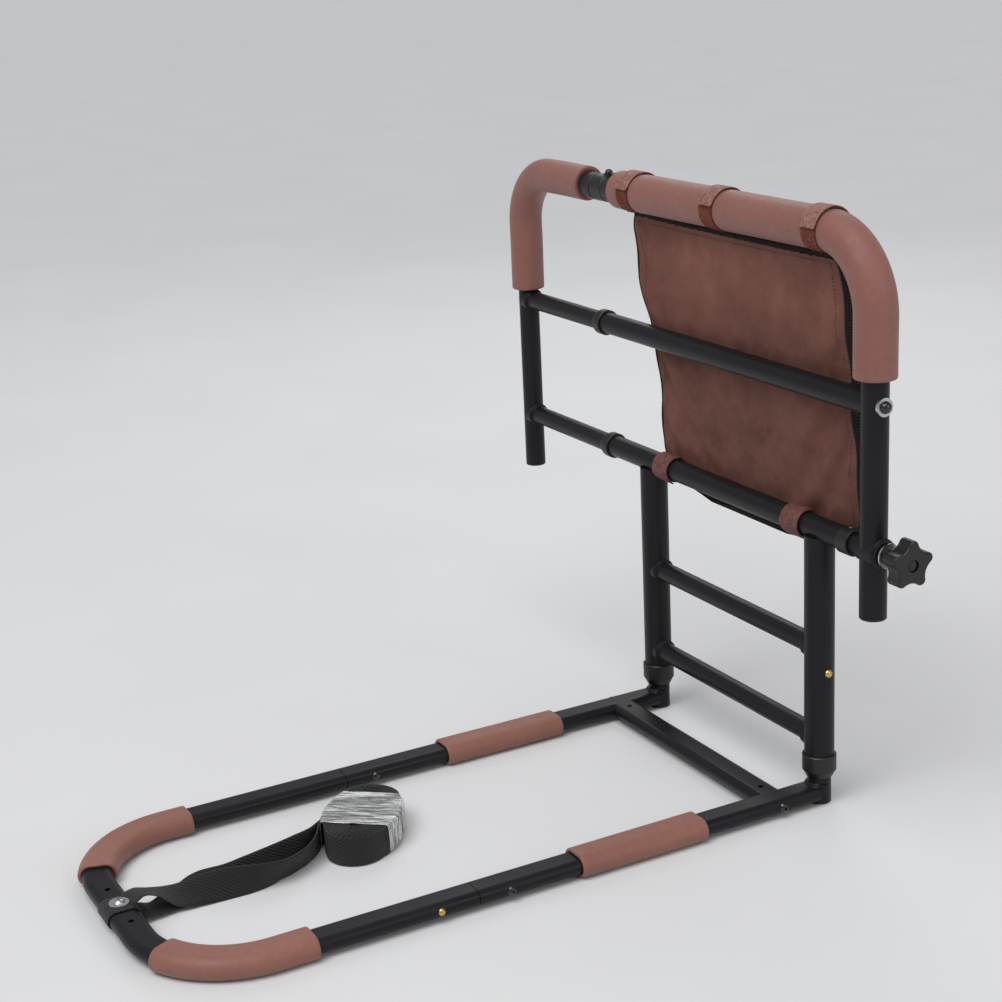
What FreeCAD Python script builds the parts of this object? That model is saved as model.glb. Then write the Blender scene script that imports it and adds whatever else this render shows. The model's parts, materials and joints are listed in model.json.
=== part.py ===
import FreeCAD, Part
import math
import os

# Folding bed rail: a base that slides under the mattress, a short ladder that stands on it,
# and a padded handrail in two telescoping halves that folds about the ladder's top sleeve.
# Millimetres. X runs along the handrail towards the lock knob, the base legs reach to -Y,
# the storage bag hangs on the +Y side, and the floor is z = 0.
# Lengths in x are counted from the middle of the ladder until the model is centred at the end.

# Tube series
upright_d = 32.0
upright_wall = 1.5
stub_play = 1.8
stub_wall = 1.5
grip_tube_d = 28.0
grip_tube_wall = 1.3
slide_tube_d = 25.0
slide_tube_wall = 1.3
thick_bar_d = 25.0
thin_bar_d = 22.0
bar_wall = 1.2
rung_d = 22.0
oval_width = 32.0
oval_height = 16.0
oval_wall = 1.5

# Ladder
ladder_width = 315.0
pivot_z = 307.0
rung_low_z = 74.0
rung_high_z = 176.0
upright_low_z = 56.0
upright_cap = 4.0
upright_top_drop = 7.0
sleeve_far_reach = 92.5
sleeve_near_reach = 57.0
stub_top_z = 190.0
leg_button_z = 151.0

# Base
base_z = 13.0
crossbar_y = -58.0
seam_y = -420.0
seam_gap = 0.8
front_bar_y = -727.0
corner_r = 100.0
arm_end_y = -8.0
arm_cap = 4.0
spigot_rear_y = -340.0
spigot_front_y = -490.0
arm_button_y = -462.0
cross_screw_y = -385.0
crossbar_hole_in = 25.5
stub_weld_reach = 6.5
front_hole_x = 37.0
top_hole_d = 6.0

# Handrail
top_z = 616.0
mid_bar_drop = 160.0
near_post_gap = 30.0
near_post_low_z = 235.5
near_bend_r = 75.0
grip_tube_end_reach = 18.3
far_post_reach = 192.5
far_post_low_z = 238.5
far_bend_r = 65.0
width_travel = 120.0
top_engaged = 80.0
mid_bar_end_reach = 11.0
mid_engaged = 45.0
low_engaged = 60.0

# Foam sleeves
base_foam_wall = 5.0
base_foam_r = 1.2
mid_foam_rear_y = -155.0
mid_foam_front_y = -305.0
corner_foam_y = -600.0
corner_foam_angle = 74.3
rail_foam_wall = 8.0
rail_foam_r = 1.5
near_foam_drop = 134.0
near_foam_start = 55.8
far_foam_drop = 146.0
far_foam_start = 15.2

# Plastic collars and bushes
fit_gap = 0.1
soft_gap = 0.3
leg_ring_rise = 2.25
leg_ring_low_z = 37.0
leg_taper_low_z = 31.0
leg_taper_rise = 1.8
leg_sleeve_depth = 26.0
bar_ring_d = 30.0
bar_ring_length = 11.0
bar_lip_length = 6.5
bar_taper_length = 5.0
near_ring_length = 18.0
near_ring_lip = 3.0
near_ring_d = 29.0
clamp_ring_d = 31.5
clamp_ring_length = 26.3
clamp_skirt_d = 30.0
clamp_skirt_length = 14.0
clamp_cap_d = 31.0
clamp_cap_length = 21.0
clamp_cap_lip = 14.0
clamp_groove = 2.0
collar_edge = 1.0
plug_depth = 16.0
plug_flange = 2.0
plug_edge = 0.8

# Welds
weld_leg = 3.0
saddle_leg = 4.5

# Lock knob and its stud
knob_lobes = 5
knob_first_lobe = 86.0
knob_lobe_r = 5.5
knob_lobe_centre = 19.5
knob_valley_centre = 34.0
knob_thickness = 18.5
knob_edge = 2.0
knob_neck_d = 20.0
knob_neck_length = 17.5
knob_recess_d = 13.0
knob_recess_depth = 2.5
knob_cap_d = 9.0
knob_cap_height = 1.0
stud_d = 10.0
thread_gap = 0.06
pivot_tube_in = 84.0
pivot_tube_out = 22.5
knob_washer_d = 26.0
knob_washer_t = 2.0
lock_nut_length = 20.0

# Small fasteners
screw_d = 6.0
screw_head_d = 11.0
screw_head_h = 4.0
screw_socket_w = 3.6
screw_socket_depth = 2.0
cross_screw_d = 5.0
cross_head_d = 9.5
cross_head_h = 3.2
cross_socket_w = 3.0
cross_socket_depth = 1.6
bar_bolt_d = 8.0
bar_bolt_head_d = 13.0
bar_bolt_head_h = 6.5
bar_washer_d = 19.0
bar_washer_t = 1.6
bar_insert_length = 34.0
grub_d = 3.5
grub_head_d = 6.5
grub_head_h = 2.2
grub_recess_w = 3.2
grub_recess_slot = 0.8
grub_recess_depth = 1.0
grub_in = 5.0
hole_gap = 0.25
strap_screw_d = 6.0
strap_washer_d = 20.0
strap_washer_t = 1.4
strap_head_d = 12.0
strap_head_h = 3.4
recess_width = 5.0
recess_slot = 1.2
recess_depth = 1.6

# Spring buttons
button_d = 9.0
button_gap = 0.06
button_dome_h = 3.0
arm_button_d = 8.0
arm_button_flange_d = 9.2
lock_button_in = 29.8
lock_button_travel = 2.5
lock_boss_rise = 2.0
lock_boss_wall = 1.8
lock_lug_gap = 1.5
lock_lug_length = 5.0
lock_lug_width = 5.0
lock_lug_rise = 3.0
lock_button_rise = 7.0
button_flange_d = 11.5
button_flange_t = 1.0
spring_t = 0.8
spring_width = 8.0
leg_spring_length = 46.0
arm_spring_length = 34.0

# Storage bag and its straps
bag_front_y = 15.1
bag_back_y = 40.0
bag_top_drop = 27.0
bag_bottom_drop = 22.0
bag_far_in = 7.5
bag_near_in = 46.5
bag_skirt_in = 20.0
bag_wing_rise = 68.0
bag_wing_slope = 50.0
bag_sheet_t = 2.5
bag_corner_r = 12.0
strap_t = 2.0
top_strap_width = 25.5
low_strap_width = 30.0
far_strap_in = 35.5
middle_strap_x = -10.5
near_strap_in = 78.0
low_strap_in = 34.5
strap_tab_t = 1.8

# Webbing that ties the base to the bed frame
webbing_width = 38.0
webbing_t = 1.3
coil_turns = 16
coil_gap = 0.5
coil_centre_x = -29.5
coil_centre_y = -455.0
coil_half_length = 54.0
coil_half_width = 41.0
coil_tilt = 149.5
film_width = 52.0
film_t = 0.5
film_gap = 0.4
film_hem_z = 3.0
loop_slack = 0.4
overrun = 2.0

# Route of the webbing's free stretch: x, y, height of its lower edge, and turn of its flat side.
# It leaves the loop flat, comes down to the floor, and turns up on edge before it meets the coil.
lead_route = (
    (0.0, -700.0, 6.5, 0.0),
    (-3.5, -688.0, 0.8, 3.0),
    (-8.0, -664.0, 0.0, 8.0),
    (-5.0, -632.0, 0.0, 16.0),
    (-4.5, -600.0, 0.0, 29.0),
    (-7.0, -570.0, 0.0, 47.0),
    (-12.0, -541.0, 0.0, 66.0),
    (-20.0, -518.0, 0.0, 83.0),
)
lead_start_lift = 11.0
lead_straight = 30.0


def point(x, y, z):
    return FreeCAD.Vector(x, y, z)


TO_X = point(1, 0, 0)
TO_Y = point(0, 1, 0)
TO_Z = point(0, 0, 1)
ORIGIN = point(0, 0, 0)

half_ladder = ladder_width / 2
sleeve_far_end = half_ladder + sleeve_far_reach
sleeve_near_end = half_ladder + sleeve_near_reach
near_post_x = sleeve_near_end + near_post_gap
far_post_x = -sleeve_far_end - far_post_reach
grip_tube_end_x = -sleeve_far_end - grip_tube_end_reach
mid_bar_end_x = -sleeve_far_end - mid_bar_end_reach
near_foam_end_x = grip_tube_end_x + near_foam_start
far_foam_end_x = grip_tube_end_x - far_foam_start
mid_bar_z = top_z - mid_bar_drop
near_foam_low_z = top_z - near_foam_drop
far_foam_low_z = top_z - far_foam_drop
pivot_tube_end_x = near_post_x - pivot_tube_in
pivot_tube_out_x = near_post_x + pivot_tube_out
grub_x = sleeve_near_end - grub_in
lock_button_x = grip_tube_end_x + lock_button_in
crossbar_hole_x = half_ladder - crossbar_hole_in
bag_top_z = top_z - bag_top_drop
bag_bottom_z = pivot_z - bag_bottom_drop
bag_far_x = near_foam_end_x + bag_far_in
bag_near_x = near_post_x - bag_near_in
bag_skirt_x = half_ladder - bag_skirt_in
top_strap_xs = (near_foam_end_x + far_strap_in, middle_strap_x, near_post_x - near_strap_in)
low_strap_xs = (low_strap_in - half_ladder, half_ladder - low_strap_in)
base_top_z = base_z + oval_height / 2
bar_bore_d = thick_bar_d - bar_wall - bar_wall
sleeve_bore_d = bar_bore_d
upright_bore_d = upright_d - upright_wall - upright_wall
stub_d = upright_bore_d - stub_play - stub_play
stub_bore_d = stub_d - stub_wall - stub_wall
grip_bore_d = grip_tube_d - grip_tube_wall - grip_tube_wall
leg_button_hole_d = button_d + button_gap + button_gap
arm_button_hole_d = arm_button_d + button_gap + button_gap
slide_tube_end_x = grip_tube_end_x + width_travel + top_engaged
mid_slide_end_x = mid_bar_end_x + width_travel + mid_engaged
low_slide_end_x = -sleeve_far_end + width_travel + low_engaged
near_post_out_x = near_post_x + grip_tube_d / 2
near_foam_d = grip_tube_d + rail_foam_wall + rail_foam_wall
far_foam_d = slide_tube_d + rail_foam_wall + rail_foam_wall
knob_washer_x = pivot_tube_out_x + soft_gap
knob_x = knob_washer_x + knob_washer_t + knob_neck_length
knob_front_x = knob_x + knob_thickness


def rod(start, way, length, diameter):
    return Part.makeCylinder(diameter / 2, length, start, way)


def pipe(start, way, length, diameter, bore):
    outer = rod(start, way, length, diameter)
    inner = rod(start - way * overrun, way, length + overrun + overrun, bore)
    return outer.cut(inner)


def turned(outline, start, way):
    """A solid turned from (radius, along) points about the line through start along way."""
    corners = [point(r, 0, a) for r, a in outline]
    face = Part.Face(Part.makePolygon(corners + corners[:1]))
    solid = face.revolve(ORIGIN, TO_Z, 360)
    solid.Placement = FreeCAD.Placement(start, FreeCAD.Rotation(TO_Z, way))
    return solid


def dome(start, way, diameter, height):
    """A domed screw or button head that stands on start."""
    r = diameter / 2
    sphere_r = (r * r + height * height) / (height + height)
    lean = math.asin(r / sphere_r) / 2
    mid = point(sphere_r * math.sin(lean), 0, height - sphere_r + sphere_r * math.cos(lean))
    rim = point(r, 0, 0)
    crown = point(0, 0, height)
    edges = [Part.LineSegment(ORIGIN, rim), Part.Arc(rim, mid, crown), Part.LineSegment(crown, ORIGIN)]
    face = Part.Face(Part.Wire([e.toShape() for e in edges]))
    solid = face.revolve(ORIGIN, TO_Z, 360)
    solid.Placement = FreeCAD.Placement(start, FreeCAD.Rotation(TO_Z, way))
    return solid


def hex_socket(start, way, across, depth):
    """Six-sided recess that is cut into a head from its crown down."""
    corner = across / math.sqrt(3)
    corners = [point(corner * math.cos(math.radians(a)), corner * math.sin(math.radians(a)), 0)
               for a in range(0, 360, 60)]
    prism = Part.Face(Part.makePolygon(corners + corners[:1])).extrude(TO_Z * (depth + overrun))
    prism.Placement = FreeCAD.Placement(start - way * depth, FreeCAD.Rotation(TO_Z, way))
    return prism


def cross_recess(start, way, across, slot, depth):
    """Cross-shaped recess for a screwdriver."""
    arms = [Part.makeBox(across, slot, depth + overrun, point(-across / 2, -slot / 2, 0)),
            Part.makeBox(slot, across, depth + overrun, point(-slot / 2, -across / 2, 0))]
    cross = fused(arms)
    cross.Placement = FreeCAD.Placement(start - way * depth, FreeCAD.Rotation(TO_Z, way))
    return cross


def fused(shapes):
    whole = shapes[0]
    for shape in shapes[1:]:
        whole = whole.fuse(shape)
    return whole.removeSplitter()


def mirrored(shape):
    """The same piece on the other side of the ladder."""
    return shape.mirror(ORIGIN, TO_X)


def group(shapes):
    return Part.Compound(shapes)


def oval_wire(centre, across, width, height):
    """Closed outline of a flat oval tube: across is its wide way, and its short way is upright."""
    flat = across * ((width - height) / 2)
    side = across * (width / 2)
    rise = TO_Z * (height / 2)
    a, b, c, d = centre - flat - rise, centre + flat - rise, centre + flat + rise, centre - flat + rise
    edges = [
        Part.LineSegment(a, b),
        Part.Arc(b, centre + side, c),
        Part.LineSegment(c, d),
        Part.Arc(d, centre - side, a),
    ]
    return Part.Wire([e.toShape() for e in edges])


def oval_rod(start, way, across, length, width, height):
    return Part.Face(oval_wire(start, across, width, height)).extrude(way * length)


def oval_pipe(start, way, across, length, width, height, wall):
    outer = oval_rod(start, way, across, length, width, height)
    inner = oval_rod(start - way * overrun, way, across, length + overrun + overrun,
                     width - wall - wall, height - wall - wall)
    return outer.cut(inner)


def swept(path, profile):
    return path.makePipeShell([profile], True, False)


def circle_wire(centre, way, diameter):
    return Part.Wire([Part.Circle(centre, way, diameter / 2).toShape()])


def weld_ring(start, way, tube_d, into, leg=weld_leg):
    """A weld bead round a tube that meets a bigger one, reaching back into its saddle."""
    r = tube_d / 2
    return turned([(0, -into), (r + leg, -into), (r + leg, 0), (r, leg), (0, leg)], start, way)


def softened(shape, faces_at, radius):
    """Rounds the edges of the flat end faces whose centres lie at the given points."""
    edges = []
    for face in shape.Faces:
        if any((face.CenterOfMass - p).Length < radius for p in faces_at):
            edges += list(face.OuterWire.Edges)
    return shape.makeFillet(radius, edges)


# Ladder pieces

def upright():
    top = pivot_z - upright_top_drop
    tube = pipe(point(half_ladder, 0, upright_low_z), TO_Z, top - upright_low_z, upright_d, upright_bore_d)
    cap = rod(point(half_ladder, 0, top - upright_cap), TO_Z, upright_cap, upright_bore_d)
    sleeve = rod(point(-sleeve_far_end, 0, pivot_z), TO_X, sleeve_far_end + sleeve_near_end, thick_bar_d)
    hole = rod(point(half_ladder, 0, leg_button_z), TO_X, upright_d, leg_button_hole_d)
    return fused([tube, cap]).cut(sleeve).cut(hole)


def rung(z):
    start = point(-half_ladder, 0, z)
    solid = rod(start, TO_X, ladder_width, rung_d)
    beads = [weld_ring(point(-half_ladder + upright_d / 2, 0, z), TO_X, rung_d, upright_d / 2),
             weld_ring(point(half_ladder - upright_d / 2, 0, z), -TO_X, rung_d, upright_d / 2)]
    whole = fused([solid] + beads)
    whole = whole.cut(rod(start - TO_X * overrun, TO_X, ladder_width + overrun + overrun,
                          rung_d - bar_wall - bar_wall))
    for side in (-half_ladder, half_ladder):
        whole = whole.cut(rod(point(side, 0, z - upright_d), TO_Z, upright_d + upright_d, upright_d))
    return whole


def pivot_sleeve():
    start = point(-sleeve_far_end, 0, pivot_z)
    solid = pipe(start, TO_X, sleeve_far_end + sleeve_near_end, thick_bar_d, sleeve_bore_d)
    return solid.cut(rod(point(grub_x, 0, pivot_z), TO_Z, thick_bar_d, grub_d))


def leg_bush():
    """Stepped collar pressed into an upright's foot, in which the base's stub stands."""
    bore = stub_d / 2 + fit_gap
    sleeve_r = upright_bore_d / 2
    ring_r = upright_d / 2 + leg_ring_rise
    outline = [
        (bore, leg_taper_low_z),
        (stub_d / 2 + leg_taper_rise, leg_taper_low_z),
        (ring_r - collar_edge, leg_ring_low_z),
        (ring_r, leg_ring_low_z + collar_edge),
        (ring_r, upright_low_z - collar_edge),
        (ring_r - collar_edge, upright_low_z),
        (sleeve_r, upright_low_z),
        (sleeve_r, upright_low_z + leg_sleeve_depth),
        (bore, upright_low_z + leg_sleeve_depth),
    ]
    return turned(outline, point(half_ladder, 0, 0), TO_Z)


# Base pieces

def rear_arm():
    """Flat oval arm with the round stub that carries the upright welded to its rear end."""
    length = arm_end_y - seam_y - seam_gap / 2
    start = point(half_ladder, arm_end_y, base_z)
    arm = oval_pipe(start, -TO_Y, TO_X, length, oval_width, oval_height, oval_wall)
    cap = oval_rod(start, -TO_Y, TO_X, arm_cap, oval_width, oval_height)
    stub_start = point(half_ladder, 0, plug_flange)
    stub_solid = rod(stub_start, TO_Z, stub_top_z - plug_flange, stub_d)
    bead = weld_ring(point(half_ladder, 0, base_top_z), TO_Z, stub_d, oval_wall)
    front = Part.makeBox(oval_height + stub_weld_reach, oval_width, oval_height,
                         point(half_ladder - (oval_height + stub_weld_reach) / 2, arm_end_y - oval_width, base_z))
    whole = fused([arm, cap, stub_solid, bead.common(front)])
    whole = whole.cut(rod(stub_start - TO_Z * overrun, TO_Z, stub_top_z + overrun, stub_bore_d))
    whole = whole.cut(rod(point(half_ladder, 0, leg_button_z), TO_X, upright_d, leg_button_hole_d))
    whole = whole.cut(cross_hole(crossbar_y, screw_d))
    return whole.cut(cross_hole(cross_screw_y, cross_screw_d))


def cross_hole(y, diameter):
    start = point(half_ladder - oval_width, y, base_z)
    return rod(start, TO_X, oval_width + oval_width, diameter + hole_gap + hole_gap)


def stub_plug():
    bottom = pipe_plug(stub_d, stub_bore_d)
    bottom.Placement = FreeCAD.Placement(point(half_ladder, 0, 0), FreeCAD.Rotation())
    return bottom


def pipe_plug(tube_d, bore_d):
    """Moulded end plug with a flange and a hollow shank, its flange's outer face at z = 0."""
    r = tube_d / 2
    shank = bore_d / 2
    hollow = shank - plug_flange
    outline = [
        (0, 0),
        (r - plug_edge, 0),
        (r, plug_edge),
        (r, plug_flange),
        (shank, plug_flange),
        (shank - plug_edge, plug_depth),
        (hollow - plug_edge, plug_depth),
        (hollow, plug_flange),
        (0, plug_flange),
    ]
    return turned(outline, ORIGIN, TO_Z)


def crossbar():
    start = point(-half_ladder, crossbar_y, base_z)
    bar = oval_pipe(start, TO_X, TO_Y, ladder_width, oval_width, oval_height, oval_wall)
    for side in (-half_ladder, half_ladder):
        arm = oval_rod(point(side, crossbar_y - oval_width, base_z), TO_Y, TO_X,
                       oval_width + oval_width, oval_width, oval_height)
        bar = bar.cut(arm)
        hole_x = math.copysign(crossbar_hole_x, side)
        bar = bar.cut(rod(point(hole_x, crossbar_y, base_z), TO_Z, oval_height, top_hole_d))
    return bar


def crossbar_insert():
    """Threaded block inside each end of the crossbar, for the screw through the arm."""
    width = oval_width - oval_wall - oval_wall - soft_gap
    height = oval_height - oval_wall - oval_wall - soft_gap
    length = half_ladder - oval_width / 2 - crossbar_hole_x - top_hole_d
    start = point(crossbar_hole_x + top_hole_d, crossbar_y, base_z)
    block = oval_rod(start, TO_X, TO_Y, length, width, height)
    return block.cut(rod(start - TO_X * overrun, TO_X, length + overrun + overrun, screw_d))


def crossbar_screw():
    seat = half_ladder + oval_width / 2
    tip = crossbar_hole_x + top_hole_d
    shank = rod(point(tip, crossbar_y, base_z), TO_X, seat - tip, screw_d)
    screw = fused([shank, dome(point(seat, crossbar_y, base_z), TO_X, screw_head_d, screw_head_h)])
    crown = point(seat + screw_head_h, crossbar_y, base_z)
    return screw.cut(hex_socket(crown, TO_X, screw_socket_w, screw_socket_depth))


def spigot():
    """Smaller flat oval tube that joins the rear arm and the front loop across the seam."""
    gap = oval_wall + soft_gap
    width = oval_width - gap - gap
    height = oval_height - gap - gap
    start = point(half_ladder, spigot_rear_y, base_z)
    tube = oval_pipe(start, -TO_Y, TO_X, spigot_rear_y - spigot_front_y, width, height, oval_wall)
    tube = tube.cut(rod(point(half_ladder, arm_button_y, base_z), TO_X, oval_width, arm_button_hole_d))
    return tube.cut(cross_hole(cross_screw_y, cross_screw_d))


def cross_screw():
    seat = oval_width / 2
    start = point(half_ladder - seat, cross_screw_y, base_z)
    shank = rod(start, TO_X, oval_width, cross_screw_d)
    outer = dome(point(half_ladder + seat, cross_screw_y, base_z), TO_X, cross_head_d, cross_head_h)
    inner = dome(start, -TO_X, cross_head_d, cross_head_h)
    crown = point(half_ladder + seat + cross_head_h, cross_screw_y, base_z)
    return fused([shank, outer, inner]).cut(hex_socket(crown, TO_X, cross_socket_w, cross_socket_depth))


def loop_path(y_start, turn):
    """Middle line of the base's front loop on the +X side: an arm, then part of its corner."""
    centre = point(half_ladder - corner_r, front_bar_y + corner_r, base_z)
    start = point(half_ladder, y_start, base_z)
    bend = point(half_ladder, front_bar_y + corner_r, base_z)
    arc = [centre + point(corner_r * math.cos(math.radians(a)), -corner_r * math.sin(math.radians(a)), 0)
           for a in (turn / 2, turn)]
    return [Part.LineSegment(start, bend).toShape(), Part.Arc(bend, arc[0], arc[1]).toShape()], arc[1]


def front_loop():
    y_start = seam_y - seam_gap / 2
    near, front_end = loop_path(y_start, 90)
    far_start = point(-front_end.x, front_end.y, front_end.z)
    far = [edge.mirror(ORIGIN, TO_X) for edge in near]
    bar = Part.LineSegment(front_end, far_start).toShape()
    path = Part.Wire(Part.__sortEdges__(near + [bar] + far))
    start = point(half_ladder, y_start, base_z)
    outer = swept(path, oval_wire(start, TO_X, oval_width, oval_height))
    bore_width = oval_width - oval_wall - oval_wall
    bore_height = oval_height - oval_wall - oval_wall
    inner = swept(path, oval_wire(start, TO_X, bore_width, bore_height))
    tube = outer.cut(inner)
    for side, way in ((half_ladder, TO_X), (-half_ladder, -TO_X)):
        tube = tube.cut(rod(point(side, arm_button_y, base_z), way, oval_width, arm_button_hole_d))
    for x in (-front_hole_x, front_hole_x):
        tube = tube.cut(rod(point(x, front_bar_y, base_z), TO_Z, oval_height, top_hole_d))
    bolt_hole = strap_screw_d + hole_gap + hole_gap
    return tube.cut(rod(point(0, front_bar_y, base_z), TO_Z, oval_height, bolt_hole))


def corner_foam():
    edges, end = loop_path(corner_foam_y, corner_foam_angle)
    path = Part.Wire(edges)
    start = point(half_ladder, corner_foam_y, base_z)
    grow = base_foam_wall + base_foam_wall
    outer = swept(path, oval_wire(start, TO_X, oval_width + grow, oval_height + grow))
    outer = softened(outer, (start, end), base_foam_r)
    return outer.cut(swept(path, oval_wire(start, TO_X, oval_width, oval_height)))


def mid_foam():
    start = point(half_ladder, mid_foam_rear_y, base_z)
    length = mid_foam_rear_y - mid_foam_front_y
    grow = base_foam_wall + base_foam_wall
    outer = oval_rod(start, -TO_Y, TO_X, length, oval_width + grow, oval_height + grow)
    outer = softened(outer, (start, start - TO_Y * length), base_foam_r)
    inner = oval_rod(start + TO_Y * overrun, -TO_Y, TO_X, length + overrun + overrun, oval_width, oval_height)
    return outer.cut(inner)


# Handrail pieces

def rail_path(post_x, low_z, bend_r, end_x):
    """Middle line of one half of the handrail: up the post, round the bend and along the top."""
    way = math.copysign(bend_r, end_x - post_x)
    centre = point(post_x + way, 0, top_z - bend_r)
    lean = math.cos(math.radians(45))
    foot = point(post_x, 0, low_z)
    shoulder = point(post_x, 0, top_z - bend_r)
    mid = centre + point(-way * lean, 0, bend_r * lean)
    crest = point(post_x + way, 0, top_z)
    end = point(end_x, 0, top_z)
    edges = [Part.LineSegment(foot, shoulder), Part.Arc(shoulder, mid, crest), Part.LineSegment(crest, end)]
    return Part.Wire([e.toShape() for e in edges]), foot, end


def rail_tube(post_x, low_z, bend_r, end_x, diameter, wall):
    path, foot, end = rail_path(post_x, low_z + plug_flange, bend_r, end_x)
    outer = swept(path, circle_wire(foot, TO_Z, diameter))
    return outer.cut(swept(path, circle_wire(foot, TO_Z, diameter - wall - wall)))


def rail_foam(post_x, low_z, bend_r, end_x, tube_d):
    path, foot, end = rail_path(post_x, low_z, bend_r, end_x)
    outer = swept(path, circle_wire(foot, TO_Z, tube_d + rail_foam_wall + rail_foam_wall))
    outer = softened(outer, (foot, end), rail_foam_r)
    return outer.cut(swept(path, circle_wire(foot, TO_Z, tube_d)))


def grip_tube():
    """Near half: the wide tube, with the pivot tube welded through its post."""
    tube = rail_tube(near_post_x, near_post_low_z, near_bend_r, grip_tube_end_x, grip_tube_d, grip_tube_wall)
    post_r = grip_tube_d / 2
    length = pivot_tube_out_x - pivot_tube_end_x
    start = point(pivot_tube_end_x, 0, pivot_z)
    pivot = rod(start, TO_X, length, thin_bar_d)
    beads = [weld_ring(point(near_post_x + post_r, 0, pivot_z), TO_X, thin_bar_d, post_r, saddle_leg),
             weld_ring(point(near_post_x - post_r, 0, pivot_z), -TO_X, thin_bar_d, post_r)]
    bore_d = thin_bar_d - bar_wall - bar_wall
    bore = rod(start - TO_X * overrun, TO_X, length + overrun + overrun, bore_d)
    post_bore = rod(point(near_post_x, 0, near_post_low_z), TO_Z, mid_bar_z - near_post_low_z,
                    grip_bore_d)
    beads = [bead.cut(post_bore) for bead in beads]
    tube = fused([tube, pivot] + beads).cut(bore)
    bolt = rod(point(near_post_x - grip_tube_d, 0, mid_bar_z), TO_X, grip_tube_d + grip_tube_d,
               bar_bolt_d + hole_gap + hole_gap)
    button = rod(point(lock_button_x, 0, top_z), TO_Z, grip_tube_d, leg_button_hole_d)
    return tube.cut(bolt).cut(button)


def slide_tube():
    """Far half: the narrower tube, which telescopes into the near half's top."""
    tube = rail_tube(far_post_x, far_post_low_z, far_bend_r, slide_tube_end_x, slide_tube_d, slide_tube_wall)
    hole = leg_button_hole_d + hole_gap + hole_gap
    return tube.cut(rod(point(lock_button_x, 0, top_z), TO_Z, slide_tube_d, hole))


def slide_bar(z, end_x):
    """Thin bar welded to the far post, which slides in the bar or the sleeve across from it."""
    post_r = slide_tube_d / 2
    start = point(far_post_x, 0, z)
    length = end_x - far_post_x
    bar = rod(start, TO_X, length, thin_bar_d)
    bead = weld_ring(point(far_post_x + post_r, 0, z), TO_X, thin_bar_d, post_r)
    whole = fused([bar, bead])
    whole = whole.cut(rod(start - TO_X * overrun, TO_X, length + overrun + overrun,
                          thin_bar_d - bar_wall - bar_wall))
    post = rod(point(far_post_x, 0, z - slide_tube_d), TO_Z, slide_tube_d + slide_tube_d, slide_tube_d)
    return whole.cut(post)


def mid_bar():
    start = point(mid_bar_end_x, 0, mid_bar_z)
    bar = pipe(start, TO_X, near_post_x - mid_bar_end_x, thick_bar_d, bar_bore_d)
    return bar.cut(near_post_rod())


def near_post_rod():
    low = point(near_post_x, 0, mid_bar_z - grip_tube_d)
    return rod(low, TO_Z, grip_tube_d + grip_tube_d, grip_tube_d)


def mid_bar_insert():
    """Threaded plug inside the near end of the middle bar."""
    length = bar_insert_length
    start = point(near_post_x - length, 0, mid_bar_z)
    plug = pipe(start, TO_X, length, bar_bore_d, bar_bolt_d)
    return plug.cut(near_post_rod())


def mid_bar_bolt():
    seat = near_post_out_x + bar_washer_t
    tip = near_post_x - bar_insert_length
    shank = rod(point(tip, 0, mid_bar_z), TO_X, seat - tip, bar_bolt_d)
    return fused([shank, dome(point(seat, 0, mid_bar_z), TO_X, bar_bolt_head_d, bar_bolt_head_h)])


def mid_bar_washer():
    """Washer dished to sit against the round post."""
    start = point(near_post_out_x - bar_washer_t, 0, mid_bar_z)
    disc = pipe(start, TO_X, bar_washer_t + bar_washer_t, bar_washer_d, bar_bolt_d + hole_gap + hole_gap)
    return disc.cut(near_post_rod())


def bar_collar(end_x, z):
    """Stepped plastic collar on a wide tube's far end, in which the thin bar slides."""
    bore = thin_bar_d / 2 + fit_gap
    seat = thick_bar_d / 2
    ring = bar_ring_d / 2
    lip = bar_lip_length
    outline = [
        (bore, -lip),
        (bore + bar_wall, -lip),
        (ring - collar_edge, -lip + bar_taper_length),
        (ring, -lip + bar_taper_length + collar_edge),
        (ring, bar_ring_length - collar_edge),
        (ring - collar_edge, bar_ring_length),
        (seat, bar_ring_length),
        (seat, 0),
        (bore, 0),
    ]
    return turned(outline, point(end_x, 0, z), TO_X)


def near_collar():
    """Collar on the sleeve's near end, which guides the pivot tube."""
    bore = thin_bar_d / 2 + fit_gap
    seat = thick_bar_d / 2
    ring = near_ring_d / 2
    outline = [
        (bore, near_ring_lip),
        (ring - collar_edge, near_ring_lip),
        (ring, near_ring_lip - collar_edge),
        (ring, near_ring_lip - near_ring_length + collar_edge),
        (ring - collar_edge, near_ring_lip - near_ring_length),
        (seat, near_ring_lip - near_ring_length),
        (seat, 0),
        (bore, 0),
    ]
    ring_solid = turned(outline, point(sleeve_near_end, 0, pivot_z), TO_X)
    return ring_solid.cut(rod(point(grub_x, 0, pivot_z), TO_Z, near_ring_d, grub_d))


def collar_screw():
    seat = pivot_z + near_ring_d / 2
    tip = pivot_z + sleeve_bore_d / 2
    shank = rod(point(grub_x, 0, tip), TO_Z, seat - tip, grub_d)
    screw = fused([shank, dome(point(grub_x, 0, seat), TO_Z, grub_head_d, grub_head_h)])
    crown = point(grub_x, 0, seat + grub_head_h)
    return screw.cut(cross_recess(crown, TO_Z, grub_recess_w, grub_recess_slot, grub_recess_depth))


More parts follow.
